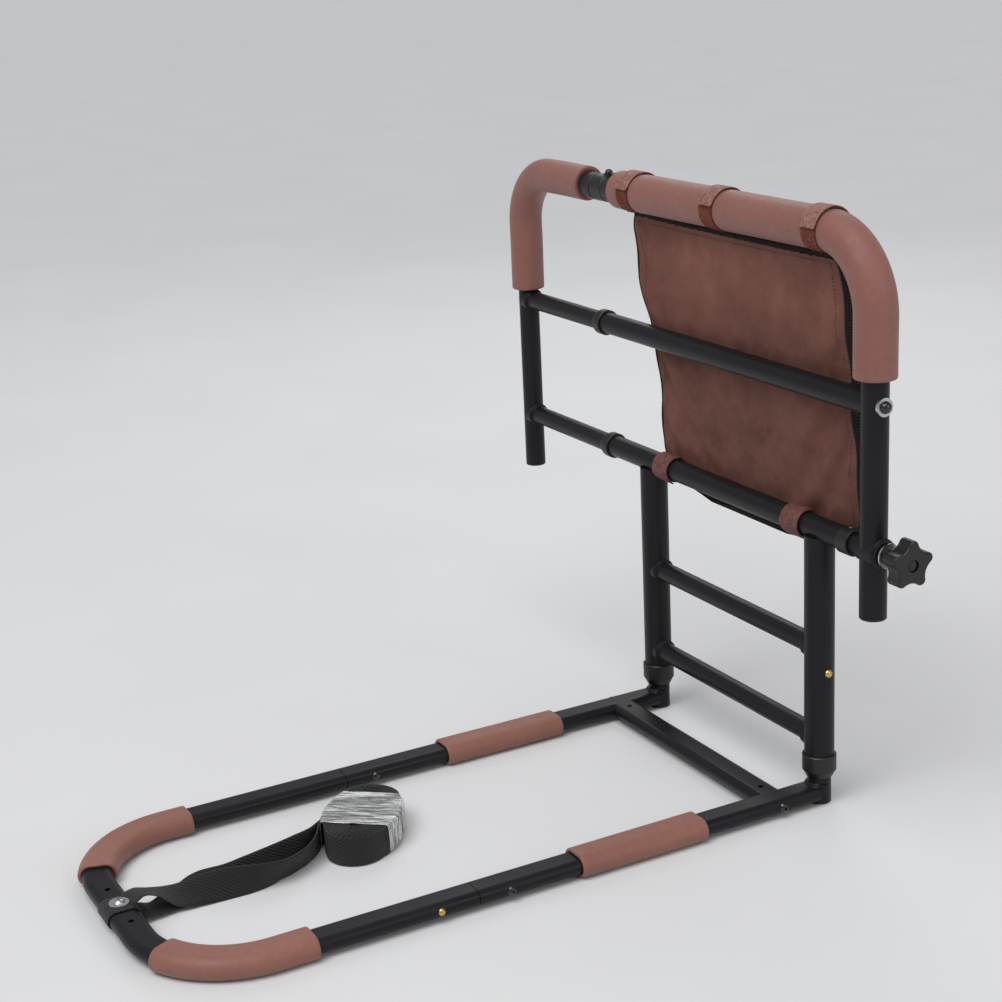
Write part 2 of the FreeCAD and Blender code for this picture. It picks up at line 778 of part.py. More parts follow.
def clamp_cap():
    """Outer ring of the top bush, which caps the wide tube's end."""
    bore = slide_tube_d / 2 + fit_gap
    seat = grip_tube_d / 2
    ring = clamp_cap_d / 2
    lip = clamp_cap_lip
    outline = [
        (bore, -lip),
        (ring - collar_edge, -lip),
        (ring, -lip + collar_edge),
        (ring, clamp_cap_length - lip - collar_edge),
        (ring - collar_edge, clamp_cap_length - lip),
        (seat, clamp_cap_length - lip),
        (seat, 0),
        (bore, 0),
    ]
    return turned(outline, point(grip_tube_end_x, 0, top_z), TO_X)


def clamp_ring():
    """Inner ring of the top bush, which holds the lock button."""
    seat = grip_tube_d / 2
    ring = clamp_ring_d / 2
    skirt = clamp_skirt_d / 2
    start = clamp_cap_length - clamp_cap_lip + clamp_groove
    end = start + clamp_ring_length - clamp_groove
    outline = [
        (seat, start),
        (ring - collar_edge, start),
        (ring, start + collar_edge),
        (ring, end - collar_edge),
        (ring - collar_edge, end),
        (skirt, end),
        (skirt, end + clamp_skirt_length),
        (seat, end + clamp_skirt_length),
    ]
    body = turned(outline, point(grip_tube_end_x, 0, top_z), TO_X)
    boss_d = button_d + lock_boss_wall + lock_boss_wall
    boss = rod(point(lock_button_x, 0, top_z), TO_Z, ring + lock_boss_rise, boss_d)
    tube = rod(point(grip_tube_end_x, 0, top_z), TO_X, clamp_ring_length + clamp_ring_length, grip_tube_d)
    lug_x = lock_button_x + button_d / 2 + lock_boss_wall + lock_lug_gap
    lug = Part.makeBox(lock_lug_length, lock_lug_width, ring + lock_lug_rise,
                       point(lug_x, -lock_lug_width / 2, top_z))
    body = fused([body, boss.cut(tube), lug.cut(tube)])
    return body.cut(rod(point(lock_button_x, 0, top_z), TO_Z, clamp_ring_d, leg_button_hole_d))


def rail_plug(post_x, low_z, tube_d, wall):
    plug = pipe_plug(tube_d, tube_d - wall - wall)
    plug.Placement = FreeCAD.Placement(point(post_x, 0, low_z), FreeCAD.Rotation())
    return plug


# Knob

def knob_outline():
    """Star outline: round lobes joined by round valleys that touch them."""
    step = 180.0 / knob_lobes
    reach = math.hypot(knob_lobe_centre - knob_valley_centre * math.cos(math.radians(step)),
                       knob_valley_centre * math.sin(math.radians(step)))
    valley_r = reach - knob_lobe_r

    def spot(radius, angle):
        return point(0, radius * math.cos(math.radians(angle)), radius * math.sin(math.radians(angle)))

    edges = []
    for n in range(knob_lobes):
        a = knob_first_lobe + n * (step + step)
        lobe = spot(knob_lobe_centre, a)
        before = spot(knob_valley_centre, a - step)
        after = spot(knob_valley_centre, a + step)
        after_lobe = spot(knob_lobe_centre, a + step + step)
        joint_in = lobe + (before - lobe) * (knob_lobe_r / reach)
        joint_out = lobe + (after - lobe) * (knob_lobe_r / reach)
        next_in = after_lobe + (after - after_lobe) * (knob_lobe_r / reach)
        edges.append(Part.Arc(joint_in, spot(knob_lobe_centre + knob_lobe_r, a), joint_out).toShape())
        edges.append(Part.Arc(joint_out, spot(knob_valley_centre - valley_r, a + step), next_in).toShape())
    return Part.Wire(edges)


def knob():
    axis = point(0, 0, pivot_z)
    outline = knob_outline()
    star = Part.Face(outline).extrude(TO_X * knob_thickness)
    rims = [e for f in star.Faces if f.Surface.TypeId == "Part::GeomPlane" for e in f.OuterWire.Edges]
    star = star.makeFillet(knob_edge, rims)
    star.translate(axis + TO_X * knob_x)
    neck = rod(axis + TO_X * (knob_washer_x + knob_washer_t), TO_X, knob_neck_length + knob_edge, knob_neck_d)
    recess_floor = axis + TO_X * (knob_front_x - knob_recess_depth)
    recess = rod(recess_floor, TO_X, knob_recess_depth + overrun, knob_recess_d)
    cap = rod(recess_floor, TO_X, knob_cap_height, knob_cap_d)
    body = fused([fused([star, neck]).cut(recess), cap])
    socket = rod(axis + TO_X * (knob_washer_x - overrun), TO_X, knob_neck_length + knob_edge, stud_d)
    return body.cut(socket)


def knob_stud():
    start = pivot_tube_end_x - soft_gap - lock_nut_length
    end = knob_washer_x - overrun + knob_neck_length + knob_edge
    return rod(point(start, 0, pivot_z), TO_X, end - start, stud_d)


def knob_washer():
    bore = stud_d + hole_gap + hole_gap
    return pipe(point(knob_washer_x, 0, pivot_z), TO_X, knob_washer_t, knob_washer_d, bore)


def lock_nut():
    """Threaded block welded inside the sleeve, into which the knob's stud screws."""
    start = point(pivot_tube_end_x - soft_gap - lock_nut_length, 0, pivot_z)
    return pipe(start, TO_X, lock_nut_length, sleeve_bore_d, stud_d + thread_gap + thread_gap)


# Spring buttons

def side_button(seat, outer_x, pin_d, flange_d):
    """Snap button: a domed pin with a flange that stays behind the inner tube's wall."""
    pin = rod(seat, TO_X, outer_x - seat.x, pin_d)
    cap = dome(point(outer_x, seat.y, seat.z), TO_X, pin_d, button_dome_h)
    flange = rod(seat - TO_X * button_flange_t, TO_X, button_flange_t, flange_d)
    return fused([flange, pin, cap])


def leg_button():
    seat = point(leg_button_inner_x(), 0, leg_button_z)
    return side_button(seat, half_ladder + upright_d / 2, button_d, button_flange_d)


def leg_button_inner_x():
    """The flange's outer face touches the stub's bore where it is nearest."""
    half = button_flange_d / 2
    bore_r = stub_bore_d / 2
    return half_ladder + math.sqrt(bore_r * bore_r - half * half) - fit_gap


def arm_button():
    seat = point(half_ladder + arm_button_seat(), arm_button_y, base_z)
    return side_button(seat, half_ladder + oval_width / 2, arm_button_d, arm_button_flange_d)


def arm_button_seat():
    """Half the spigot's clear width at the height of the flange's edge."""
    gap = oval_wall + soft_gap + oval_wall
    flat = (oval_width - oval_height) / 2
    round_r = oval_height / 2 - gap
    half = arm_button_flange_d / 2
    return flat + math.sqrt(round_r * round_r - half * half) - fit_gap


def bent_spring(start, along, away, length, spread, width_way):
    """Leaf spring bent to a hairpin: one leg bears on the button, the other on the tube."""
    t = spring_t
    r = spread / 2
    a = start
    b = start + along * (length - r)
    c = b + away * spread
    d = start + away * spread
    tip = b + away * r + along * r
    inner_tip = b + away * r + along * (r - t)
    outer = [Part.LineSegment(a, b), Part.Arc(b, tip, c), Part.LineSegment(c, d)]
    ends = [Part.LineSegment(d, d - away * t)]
    inner = [Part.LineSegment(d - away * t, c - away * t),
             Part.Arc(c - away * t, inner_tip, b + away * t),
             Part.LineSegment(b + away * t, a + away * t),
             Part.LineSegment(a + away * t, a)]
    face = Part.Face(Part.Wire([e.toShape() for e in outer + ends + inner]))
    strip = face.extrude(width_way * spring_width)
    strip.translate(width_way * (-spring_width / 2))
    return strip


def leg_spring():
    front = leg_button_inner_x() - button_flange_t
    back_gap = math.sqrt((stub_bore_d / 2) ** 2 - (spring_width / 2) ** 2)
    back = half_ladder - back_gap + fit_gap
    start = point(front, 0, leg_button_z - button_d)
    return bent_spring(start, TO_Z, -TO_X, leg_spring_length, front - back, TO_Y)


def arm_spring():
    front = half_ladder + arm_button_seat() - button_flange_t
    back = half_ladder - arm_button_seat()
    start = point(front, arm_button_y - button_d, base_z)
    return bent_spring(start, TO_Y, -TO_X, arm_spring_length, front - back, TO_Z)


def lock_button():
    tip = top_z + slide_tube_d / 2 + soft_gap + lock_button_travel
    crown = top_z + clamp_ring_d / 2 + lock_button_rise
    seat = crown - button_d / 2
    stem = rod(point(lock_button_x, 0, tip), TO_Z, seat - tip, button_d)
    return fused([stem, dome(point(lock_button_x, 0, seat), TO_Z, button_d, button_d / 2)])


# Bag and straps

def bag_slice(outline, low_x, high_x):
    corners = [point(low_x, y, z) for y, z in outline]
    face = Part.Face(Part.makePolygon(corners + corners[:1]))
    return face.extrude(TO_X * (high_x - low_x))


def storage_bag():
    """Flat pocket: its skirt hangs between the uprights and its wings stop above their tops."""
    front, back, top = bag_front_y, bag_back_y, bag_top_z
    wing_low = pivot_z + bag_wing_rise
    wing = bag_slice([(front, wing_low), (front + bag_sheet_t, wing_low), (back, wing_low + bag_wing_slope),
                      (back, top - bag_corner_r), (back - bag_corner_r, top), (front, top)],
                     bag_far_x, bag_near_x)
    skirt = bag_slice([(front, bag_bottom_z), (back - bag_corner_r, bag_bottom_z),
                       (back, bag_bottom_z + bag_corner_r), (back, top - bag_corner_r),
                       (back - bag_corner_r, top), (front, top)],
                      -bag_skirt_x, bag_skirt_x)
    return fused([wing, skirt])


def top_strap(x, foam):
    ring_r = near_foam_d / 2 + soft_gap + strap_t
    start = point(x - top_strap_width / 2, 0, top_z)
    ring = rod(start, TO_X, top_strap_width, ring_r + ring_r)
    tab_low = bag_top_z
    tab = Part.makeBox(top_strap_width, strap_tab_t, top_z - tab_low,
                       point(start.x, bag_front_y, tab_low))
    whole = fused([ring, tab])
    bore = near_foam_d + soft_gap + soft_gap
    whole = whole.cut(rod(start - TO_X * overrun, TO_X, top_strap_width + overrun + overrun, bore))
    return whole.cut(foam)


def low_strap(x):
    start = point(x - low_strap_width / 2, 0, pivot_z)
    bore = thick_bar_d + soft_gap + soft_gap
    return pipe(start, TO_X, low_strap_width, bore + strap_t + strap_t, bore)


# Webbing

def webbing_loop():
    """The webbing's end sewn round the front bar, open inside where it goes round the tube."""
    width = oval_width + loop_slack + loop_slack
    height = oval_height + loop_slack + loop_slack
    start = point(-webbing_width / 2, front_bar_y, base_z)
    grow = webbing_t + webbing_t
    ring = oval_rod(start, TO_X, TO_Y, webbing_width, width + grow, height + grow)
    bore = oval_rod(start - TO_X * overrun, TO_X, TO_Y, webbing_width + overrun + overrun, width, height)
    hole = strap_screw_d + hole_gap + hole_gap
    return ring.cut(bore).cut(rod(point(0, front_bar_y, base_z), TO_Z, height, hole))


def strap_washer():
    seat = base_top_z + loop_slack + webbing_t
    bore = strap_screw_d + hole_gap + hole_gap
    return pipe(point(0, front_bar_y, seat), TO_Z, strap_washer_t, strap_washer_d, bore)


def strap_screw():
    seat = base_top_z + loop_slack + webbing_t + strap_washer_t
    tip = base_z - oval_height / 2 + oval_wall + soft_gap
    shank = rod(point(0, front_bar_y, tip), TO_Z, seat - tip, strap_screw_d)
    screw = fused([shank, dome(point(0, front_bar_y, seat), TO_Z, strap_head_d, strap_head_h)])
    crown = point(0, front_bar_y, seat + strap_head_h)
    return screw.cut(cross_recess(crown, TO_Z, recess_width, recess_slot, recess_depth))


def ribbon_section(place, onward, turn):
    """The webbing's rectangular section at one point of its route, turned from flat to on edge."""
    side = point(-onward.y, onward.x, 0).normalize()
    tilt = math.radians(turn)
    wide = side * math.cos(tilt) + TO_Z * math.sin(tilt)
    thick = TO_Z * math.cos(tilt) - side * math.sin(tilt)
    w = wide * (webbing_width / 2)
    t = thick * (webbing_t / 2)
    corners = [place - w - t, place + w - t, place + w + t, place - w + t]
    return Part.makePolygon(corners + corners[:1])


def lead_places():
    """Middle line of the free stretch from the loop to the coil, with its turn at each place."""
    loop_y = front_bar_y + oval_width / 2 + loop_slack + webbing_t
    coil_end = coil_line_start()
    before = coil_end - coil_heading() * lead_straight
    route = [(lead_route[0][0], loop_y, lead_start_lift, 0)] + list(lead_route)
    route += [(before.x, before.y, 0, 90), (coil_end.x, coil_end.y, 0, 90)]
    places = []
    for x, y, lift, turn in route:
        tilt = math.radians(turn)
        rise = lift + math.sin(tilt) * webbing_width / 2 + math.cos(tilt) * webbing_t / 2
        places.append((point(x, y, rise), turn))
    return places


def webbing_lead():
    places = lead_places()
    sections = []
    last = len(places) - 1
    for n, (place, turn) in enumerate(places):
        onward = places[min(n + 1, last)][0] - places[max(n - 1, 0)][0]
        if n == 0:
            onward = TO_Y
        if n == last:
            onward = coil_heading()
        sections.append(ribbon_section(place, onward, turn))
    return Part.makeLoft(sections, True, True)


def coil_arcs():
    """Arcs of an oval spiral from the outside inwards: half a long side, then quarter turns."""
    pitch = webbing_t + coil_gap
    outer_length = coil_half_length - webbing_t / 2
    outer_width = coil_half_width - webbing_t / 2
    shift = (outer_length - outer_width) / (2 - math.sqrt(2))
    end_r = outer_length - shift
    side_r = end_r + shift * math.sqrt(2)
    place = point(0, outer_width, 0)
    angle = 90
    arcs = []
    for quarter in range(4 * coil_turns):
        sweep = 90 if quarter else 45
        radius = (side_r if quarter % 2 == 0 else end_r) - quarter * pitch / 4
        centre = place - unit(angle) * radius
        middle = centre + unit(angle - sweep / 2) * radius
        angle -= sweep
        end = centre + unit(angle) * radius
        arcs.append((place, middle, end))
        place = end
    return arcs


def coil_heading():
    """Way that the webbing runs where it joins the coil's outer turn."""
    return unit(coil_tilt)


def coil_line_start():
    """Point on the floor under the start of the coil's outer turn."""
    place = coil_arcs()[0][0]
    turned_place = unit(coil_tilt) * place.x + unit(coil_tilt + 90) * place.y
    return point(coil_centre_x, coil_centre_y, 0) + turned_place


def unit(degrees):
    return point(math.cos(math.radians(degrees)), math.sin(math.radians(degrees)), 0)


def coil_placed(shape):
    shape.Placement = FreeCAD.Placement(point(coil_centre_x, coil_centre_y, 0),
                                        FreeCAD.Rotation(TO_Z, coil_tilt))
    return shape


def webbing_coil():
    """The rest of the webbing, wound on edge into an oval coil."""
    arcs = coil_arcs()
    lift = TO_Z * (webbing_width / 2)
    path = Part.Wire([Part.Arc(a + lift, b + lift, c + lift).toShape() for a, b, c in arcs])
    start = arcs[0][0]
    outward = TO_Y * (webbing_t / 2)
    rise = TO_Z * webbing_width
    corners = [start - outward, start + outward, start + outward + rise, start - outward + rise]
    profile = Part.makePolygon(corners + corners[:1])
    return coil_placed(swept(path, profile))


def print_coil_gap():
    """Least distance between neighbouring turns, measured on points along the strip."""
    steps = 6
    spots = []
    for a, b, c in coil_arcs():
        spots += Part.Arc(a, b, c).toShape().discretize(steps + 1)[:steps]
    per_turn = 4 * steps
    near = per_turn - steps
    least = min((p - q).Length for n, p in enumerate(spots) for q in spots[n + near:n + per_turn + steps])
    length = sum(Part.Arc(a, b, c).length() for a, b, c in coil_arcs())
    print("least gap between turns of the webbing coil, mm:", round(least - webbing_t, 3))
    print("webbing in the coil, mm:", round(length))


def print_lead(lead):
    places = [place for place, turn in lead_places()]
    length = sum((b - a).Length for a, b in zip(places, places[1:]))
    share = lead.Volume / (length * webbing_width * webbing_t)
    print("free webbing, mm:", round(length, 1), "volume against section times length:", round(share, 3))


def coil_film():
    """Clear film band wrapped over the coil: across its top and down both long sides."""
    reach = coil_half_width + film_gap
    top = webbing_width + film_gap
    outline = [
        (-reach - film_t, film_hem_z),
        (-reach - film_t, top + film_t),
        (reach + film_t, top + film_t),
        (reach + film_t, film_hem_z),
        (reach, film_hem_z),
        (reach, top),
        (-reach, top),
        (-reach, film_hem_z),
    ]
    corners = [point(-film_width / 2, y, z) for y, z in outline]
    face = Part.Face(Part.makePolygon(corners + corners[:1]))
    return coil_placed(face.extrude(TO_X * film_width))


def pair(shape):
    return {"near": shape, "far": mirrored(shape)}


def build():
    nodes = {}
    for side, shape in pair(upright()).items():
        nodes["upright_" + side] = shape
    nodes["rung_lower"] = rung(rung_low_z)
    nodes["rung_upper"] = rung(rung_high_z)
    nodes["pivot_sleeve"] = pivot_sleeve()
    nodes["sleeve_collar_far"] = bar_collar(-sleeve_far_end, pivot_z)
    nodes["sleeve_collar_near"] = near_collar()
    nodes["sleeve_collar_screw"] = collar_screw()
    nodes["sleeve_lock_nut"] = lock_nut()

    nodes["leg_bushes"] = group(list(pair(leg_bush()).values()))
    nodes["leg_stub_plugs"] = group(list(pair(stub_plug()).values()))
    nodes["arm_spigots"] = group(list(pair(spigot()).values()))
    sided = {
        "rear_arm": rear_arm(),
        "corner_foam": corner_foam(),
        "mid_foam": mid_foam(),
        "leg_button": leg_button(),
        "leg_button_spring": leg_spring(),
        "arm_button": arm_button(),
        "arm_button_spring": arm_spring(),
    }
    for name, shape in sided.items():
        for side, sided_shape in pair(shape).items():
            nodes[name + "_" + side] = sided_shape
    nodes["crossbar"] = crossbar()
    nodes["crossbar_inserts"] = group(list(pair(crossbar_insert()).values()))
    nodes["crossbar_screws"] = group(list(pair(crossbar_screw()).values()))
    nodes["spigot_screws"] = group(list(pair(cross_screw()).values()))
    nodes["front_loop"] = front_loop()

    nodes["grip_tube"] = grip_tube()
    nodes["grip_foam_near"] = rail_foam(near_post_x, near_foam_low_z, near_bend_r, near_foam_end_x, grip_tube_d)
    nodes["grip_tube_plug"] = rail_plug(near_post_x, near_post_low_z, grip_tube_d, grip_tube_wall)
    nodes["middle_bar"] = mid_bar()
    nodes["middle_bar_insert"] = mid_bar_insert()
    nodes["middle_bar_bolt"] = mid_bar_bolt()
    nodes["middle_bar_washer"] = mid_bar_washer()
    nodes["middle_bar_collar"] = bar_collar(mid_bar_end_x, mid_bar_z)
    nodes["top_bush_cap"] = clamp_cap()
    nodes["top_bush_ring"] = clamp_ring()
    nodes["width_lock_button"] = lock_button()

    nodes["slide_tube"] = slide_tube()
    nodes["slide_bar_middle"] = slide_bar(mid_bar_z, mid_slide_end_x)
    nodes["slide_bar_lower"] = slide_bar(pivot_z, low_slide_end_x)
    nodes["grip_foam_far"] = rail_foam(far_post_x, far_foam_low_z, far_bend_r, far_foam_end_x, slide_tube_d)
    nodes["slide_tube_plug"] = rail_plug(far_post_x, far_post_low_z, slide_tube_d, slide_tube_wall)

    nodes["lock_knob"] = knob()
    nodes["lock_knob_stud"] = knob_stud()
    nodes["lock_knob_washer"] = knob_washer()

    nodes["storage_bag"] = storage_bag()
    nodes["top_straps"] = group([top_strap(x, nodes["grip_foam_near"]) for x in top_strap_xs])
    nodes["lower_straps"] = group([low_strap(x) for x in low_strap_xs])

    nodes["webbing_loop"] = webbing_loop()
    nodes["webbing_washer"] = strap_washer()
    nodes["webbing_screw"] = strap_screw()
    nodes["webbing_lead"] = webbing_lead()
    nodes["webbing_coil"] = webbing_coil()
    nodes["coil_film"] = coil_film()
    return nodes


def centre_shift():
    """Moves the model so that its origin lies under the middle of its box, on the floor."""
    low_x = far_post_x - far_foam_d / 2
    low_y = front_bar_y - oval_width / 2 - loop_slack - webbing_t
    return point(-(low_x + knob_front_x) / 2, -(low_y + bag_back_y) / 2, 0)


def main():
    os.makedirs("parts", exist_ok=True)
    shift = centre_shift()
    print("shift of the origin, mm:", round(shift.x, 3), round(shift.y, 3))
    print_coil_gap()
    nodes = build()
    print_lead(nodes["webbing_lead"])
    for name, shape in nodes.items():
        solids = shape.Solids
        sound = bool(solids) and all(s.isValid() and s.Volume > 0 for s in solids)
        shape = Part.Compound(solids) if len(solids) > 1 else solids[0]
        shape.translate(shift)
        shape.exportStep("parts/" + name + ".step")
        print(name, len(solids), "solid(s)", "sound" if sound else "UNSOUND")


main()
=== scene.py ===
import json
import math

import bmesh
import bpy
import numpy as np
from bpy.props import FloatProperty, FloatVectorProperty, PointerProperty
from mathutils import Matrix, Vector


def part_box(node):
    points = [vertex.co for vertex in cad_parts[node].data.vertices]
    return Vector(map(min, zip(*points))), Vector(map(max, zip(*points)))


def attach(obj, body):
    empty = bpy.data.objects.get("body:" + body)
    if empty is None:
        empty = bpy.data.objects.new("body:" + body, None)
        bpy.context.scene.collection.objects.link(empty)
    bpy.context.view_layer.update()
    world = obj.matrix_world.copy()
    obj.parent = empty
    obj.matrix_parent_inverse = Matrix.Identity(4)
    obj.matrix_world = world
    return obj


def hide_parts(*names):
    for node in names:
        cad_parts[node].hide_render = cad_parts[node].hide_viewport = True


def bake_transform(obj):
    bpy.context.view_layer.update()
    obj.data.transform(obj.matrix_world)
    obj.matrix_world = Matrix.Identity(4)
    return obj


bl_info = {
    "name": "Bed rail dressing",
    "version": (1, 0, 0),
    "blender": (4, 5, 0),
    "location": "View3D > Sidebar > Bed rail",
    "description": "Foam, cloth, webbing and finishes for the folding bed rail",
    "category": "Object",
}

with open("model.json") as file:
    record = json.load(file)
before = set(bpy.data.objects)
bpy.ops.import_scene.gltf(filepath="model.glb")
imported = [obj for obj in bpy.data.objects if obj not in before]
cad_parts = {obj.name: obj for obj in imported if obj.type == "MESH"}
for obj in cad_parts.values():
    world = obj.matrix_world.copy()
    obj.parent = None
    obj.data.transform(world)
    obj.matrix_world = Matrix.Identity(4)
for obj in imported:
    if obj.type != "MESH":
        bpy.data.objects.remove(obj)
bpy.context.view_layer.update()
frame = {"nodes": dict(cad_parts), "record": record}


def middle(node):
    low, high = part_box(node)
    return (low + high) / 2


# Places read from the frame: the ladder's middle plane, the handrail's plane and its main heights.
MID_X = (middle("upright_near").x + middle("upright_far").x) / 2
RAIL_Y = middle("upright_near").y
PIVOT_Z = middle("pivot_sleeve").z
TOP_Z = middle("top_bush_ring").z
ARM_Z = middle("front_loop").z
LADDER_HALF = (middle("upright_near").x - middle("upright_far").x) / 2
NEAR_POST_X = middle("grip_tube_plug").x
FAR_POST_X = middle("slide_tube_plug").x


def spot(x, y, z):
    """A place in metres, from millimetres off the ladder's middle, the handrail's plane and the floor."""
    return Vector((MID_X + x / 1000, RAIL_Y + y / 1000, z / 1000))


def screen(red, green, blue):
    """Linear colour of a colour picked on screen in 8 bits."""
    return tuple(((c / 255 + 0.055) / 1.055) ** 2.4 if c > 10 else c / 255 / 12.92
                 for c in (red, green, blue))


# Sizes and colours that a user would change

def length(name, description, default):
    return FloatProperty(name=name, description=description, default=default, min=0.0, unit="LENGTH",
                         subtype="DISTANCE")


def colour(name, description, default):
    return FloatVectorProperty(name=name, description=description, default=default, min=0.0, max=1.0, size=3,
                               subtype="COLOR")


class BedRailSizes(bpy.types.PropertyGroup):
    foam_end_round: length("Foam end rounding", "Radius of the foam sleeves' cut ends", 0.0022)
    foam_ripple: length("Foam ripple", "Height of the foam skin's slow unevenness", 0.00022)
    strap_thickness: length("Strap thickness", "Thickness of the hook-and-loop straps", 0.0014)
    cloth_thickness: length("Cloth thickness", "Thickness of the bag's cloth", 0.0011)
    cloth_slack: FloatProperty(
        name="Cloth slack", description="Share by which the bag's cloth is cut over its size",
        default=0.03, min=0.0, max=0.1, subtype="FACTOR")
    stitch_spacing: length("Stitch spacing", "Distance from one sewn stitch to the next", 0.0038)
    thread_width: length("Thread width", "Thickness of the sewing thread", 0.0008)
    weld_ripple: length("Weld ripple", "Spacing of the ripples along the weld beads", 0.0019)
    webbing_thickness: length("Webbing thickness", "Thickness of the tie webbing", 0.0013)
    webbing_width: length("Webbing width", "Width of the tie webbing", 0.032)
    film_crease: length("Film crease", "Height of the creases in the film round the roll", 0.0009)


class BedRailColours(bpy.types.PropertyGroup):
    steel: colour("Powder coat", "Colour of the coated steel tubes", screen(23, 23, 26))
    plastic: colour("Moulded plastic", "Colour of the collars, plugs and bushes", screen(19, 19, 21))
    rail_foam: colour("Handrail foam", "Colour of the foam on the handrail", screen(138, 89, 80))
    base_foam: colour("Base foam", "Colour of the foam on the base loop", screen(140, 92, 79))
    bag: colour("Bag cloth", "Colour of the storage bag's cloth", screen(109, 72, 63))
    gusset: colour("Gusset mesh", "Colour of the mesh in the bag's sides", screen(40, 27, 28))
    tape: colour("Strap tape", "Colour of the straps' smooth side", screen(148, 105, 95))
    pile: colour("Strap pile", "Colour of the straps' looped side", screen(144, 82, 68))
    webbing: colour("Tie webbing", "Colour of the webbing tied to the bed", screen(20, 20, 22))
    brass: colour("Brass", "Colour of the snap buttons", screen(214, 180, 104))
    zinc: colour("Zinc plate", "Colour of the bright washers and springs", screen(196, 196, 198))
    floor: colour("Floor", "Colour of the floor", screen(220, 220, 221))


# Mesh helpers

def linked(name, data):
    """A new object in the scene."""
    made = bpy.data.objects.new(name, data)
    bpy.context.scene.collection.objects.link(made)
    return made


def new_piece(name, points, faces, smooth=True, uv=None):
    """A mesh object at the origin; uv holds one pair in metres for each point."""
    mesh = bpy.data.meshes.new(name)
    mesh.from_pydata([tuple(p) for p in points], [], faces)
    if uv is not None:
        layer = mesh.uv_layers.new(name="UVMap")
        loops = np.zeros(len(mesh.loops), np.int32)
        mesh.loops.foreach_get("vertex_index", loops)
        layer.data.foreach_set("uv", np.array(uv, np.float32)[loops].ravel())
    mesh.update()
    if smooth:
        mesh.shade_smooth()
    return linked(name, mesh)


def applied(piece):
    """The piece with its modifiers made part of its mesh."""
    graph = bpy.context.evaluated_depsgraph_get()
    mesh = bpy.data.meshes.new_from_object(piece.evaluated_get(graph))
    piece.modifiers.clear()
    old = piece.data
    piece.data = mesh
    bpy.data.meshes.remove(old)
    return piece


def thickened(piece, thickness, offset=0.0):
    """The piece's sheet as a closed mesh of the given thickness."""
    solid = piece.modifiers.new("thickness", "SOLIDIFY")
    solid.thickness = thickness
    solid.offset = offset
    return outward(applied(piece))


def grid_faces(rows, cols, close_rows=False, close_cols=False):
    """Four-sided faces between rows of points, row after row."""
    faces = []
    for r in range(rows if close_rows else rows - 1):
        for c in range(cols if close_cols else cols - 1):
            below = (r + 1) % rows
            aside = (c + 1) % cols
            faces.append((r * cols + c, r * cols + aside, below * cols + aside, below * cols + c))
    return faces


def rod_faces(rows, cols):
    """Faces of a rod whose rows are its outlines, with both ends closed."""
    ends = [tuple(range(cols)), tuple(reversed(range((rows - 1) * cols, rows * cols)))]
    return grid_faces(rows, cols, close_cols=True) + ends


def outward(piece):
    """Turns a closed mesh's faces outwards."""
    work = bmesh.new()
    work.from_mesh(piece.data)
    bmesh.ops.recalc_face_normals(work, faces=work.faces)
    work.to_mesh(piece.data)
    work.free()
    return piece


def finish_piece(piece, body, look, slot, *nodes):
    piece.data.materials.clear()
    piece.data.materials.append(look)
    if body:
        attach(piece, body)
    if nodes:
        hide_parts(*nodes)
    return piece


# Materials

def add_node(tree, kind, inputs=None, **values):
    """A new node whose inputs hold plain values or are linked to the sockets given."""
    made = tree.nodes.new(kind)
    for key, value in values.items():
        setattr(made, key, value)
    for key, value in (inputs or {}).items():
        if isinstance(value, bpy.types.NodeSocket):
            tree.links.new(value, made.inputs[key])
        else:
            made.inputs[key].default_value = value
    return made


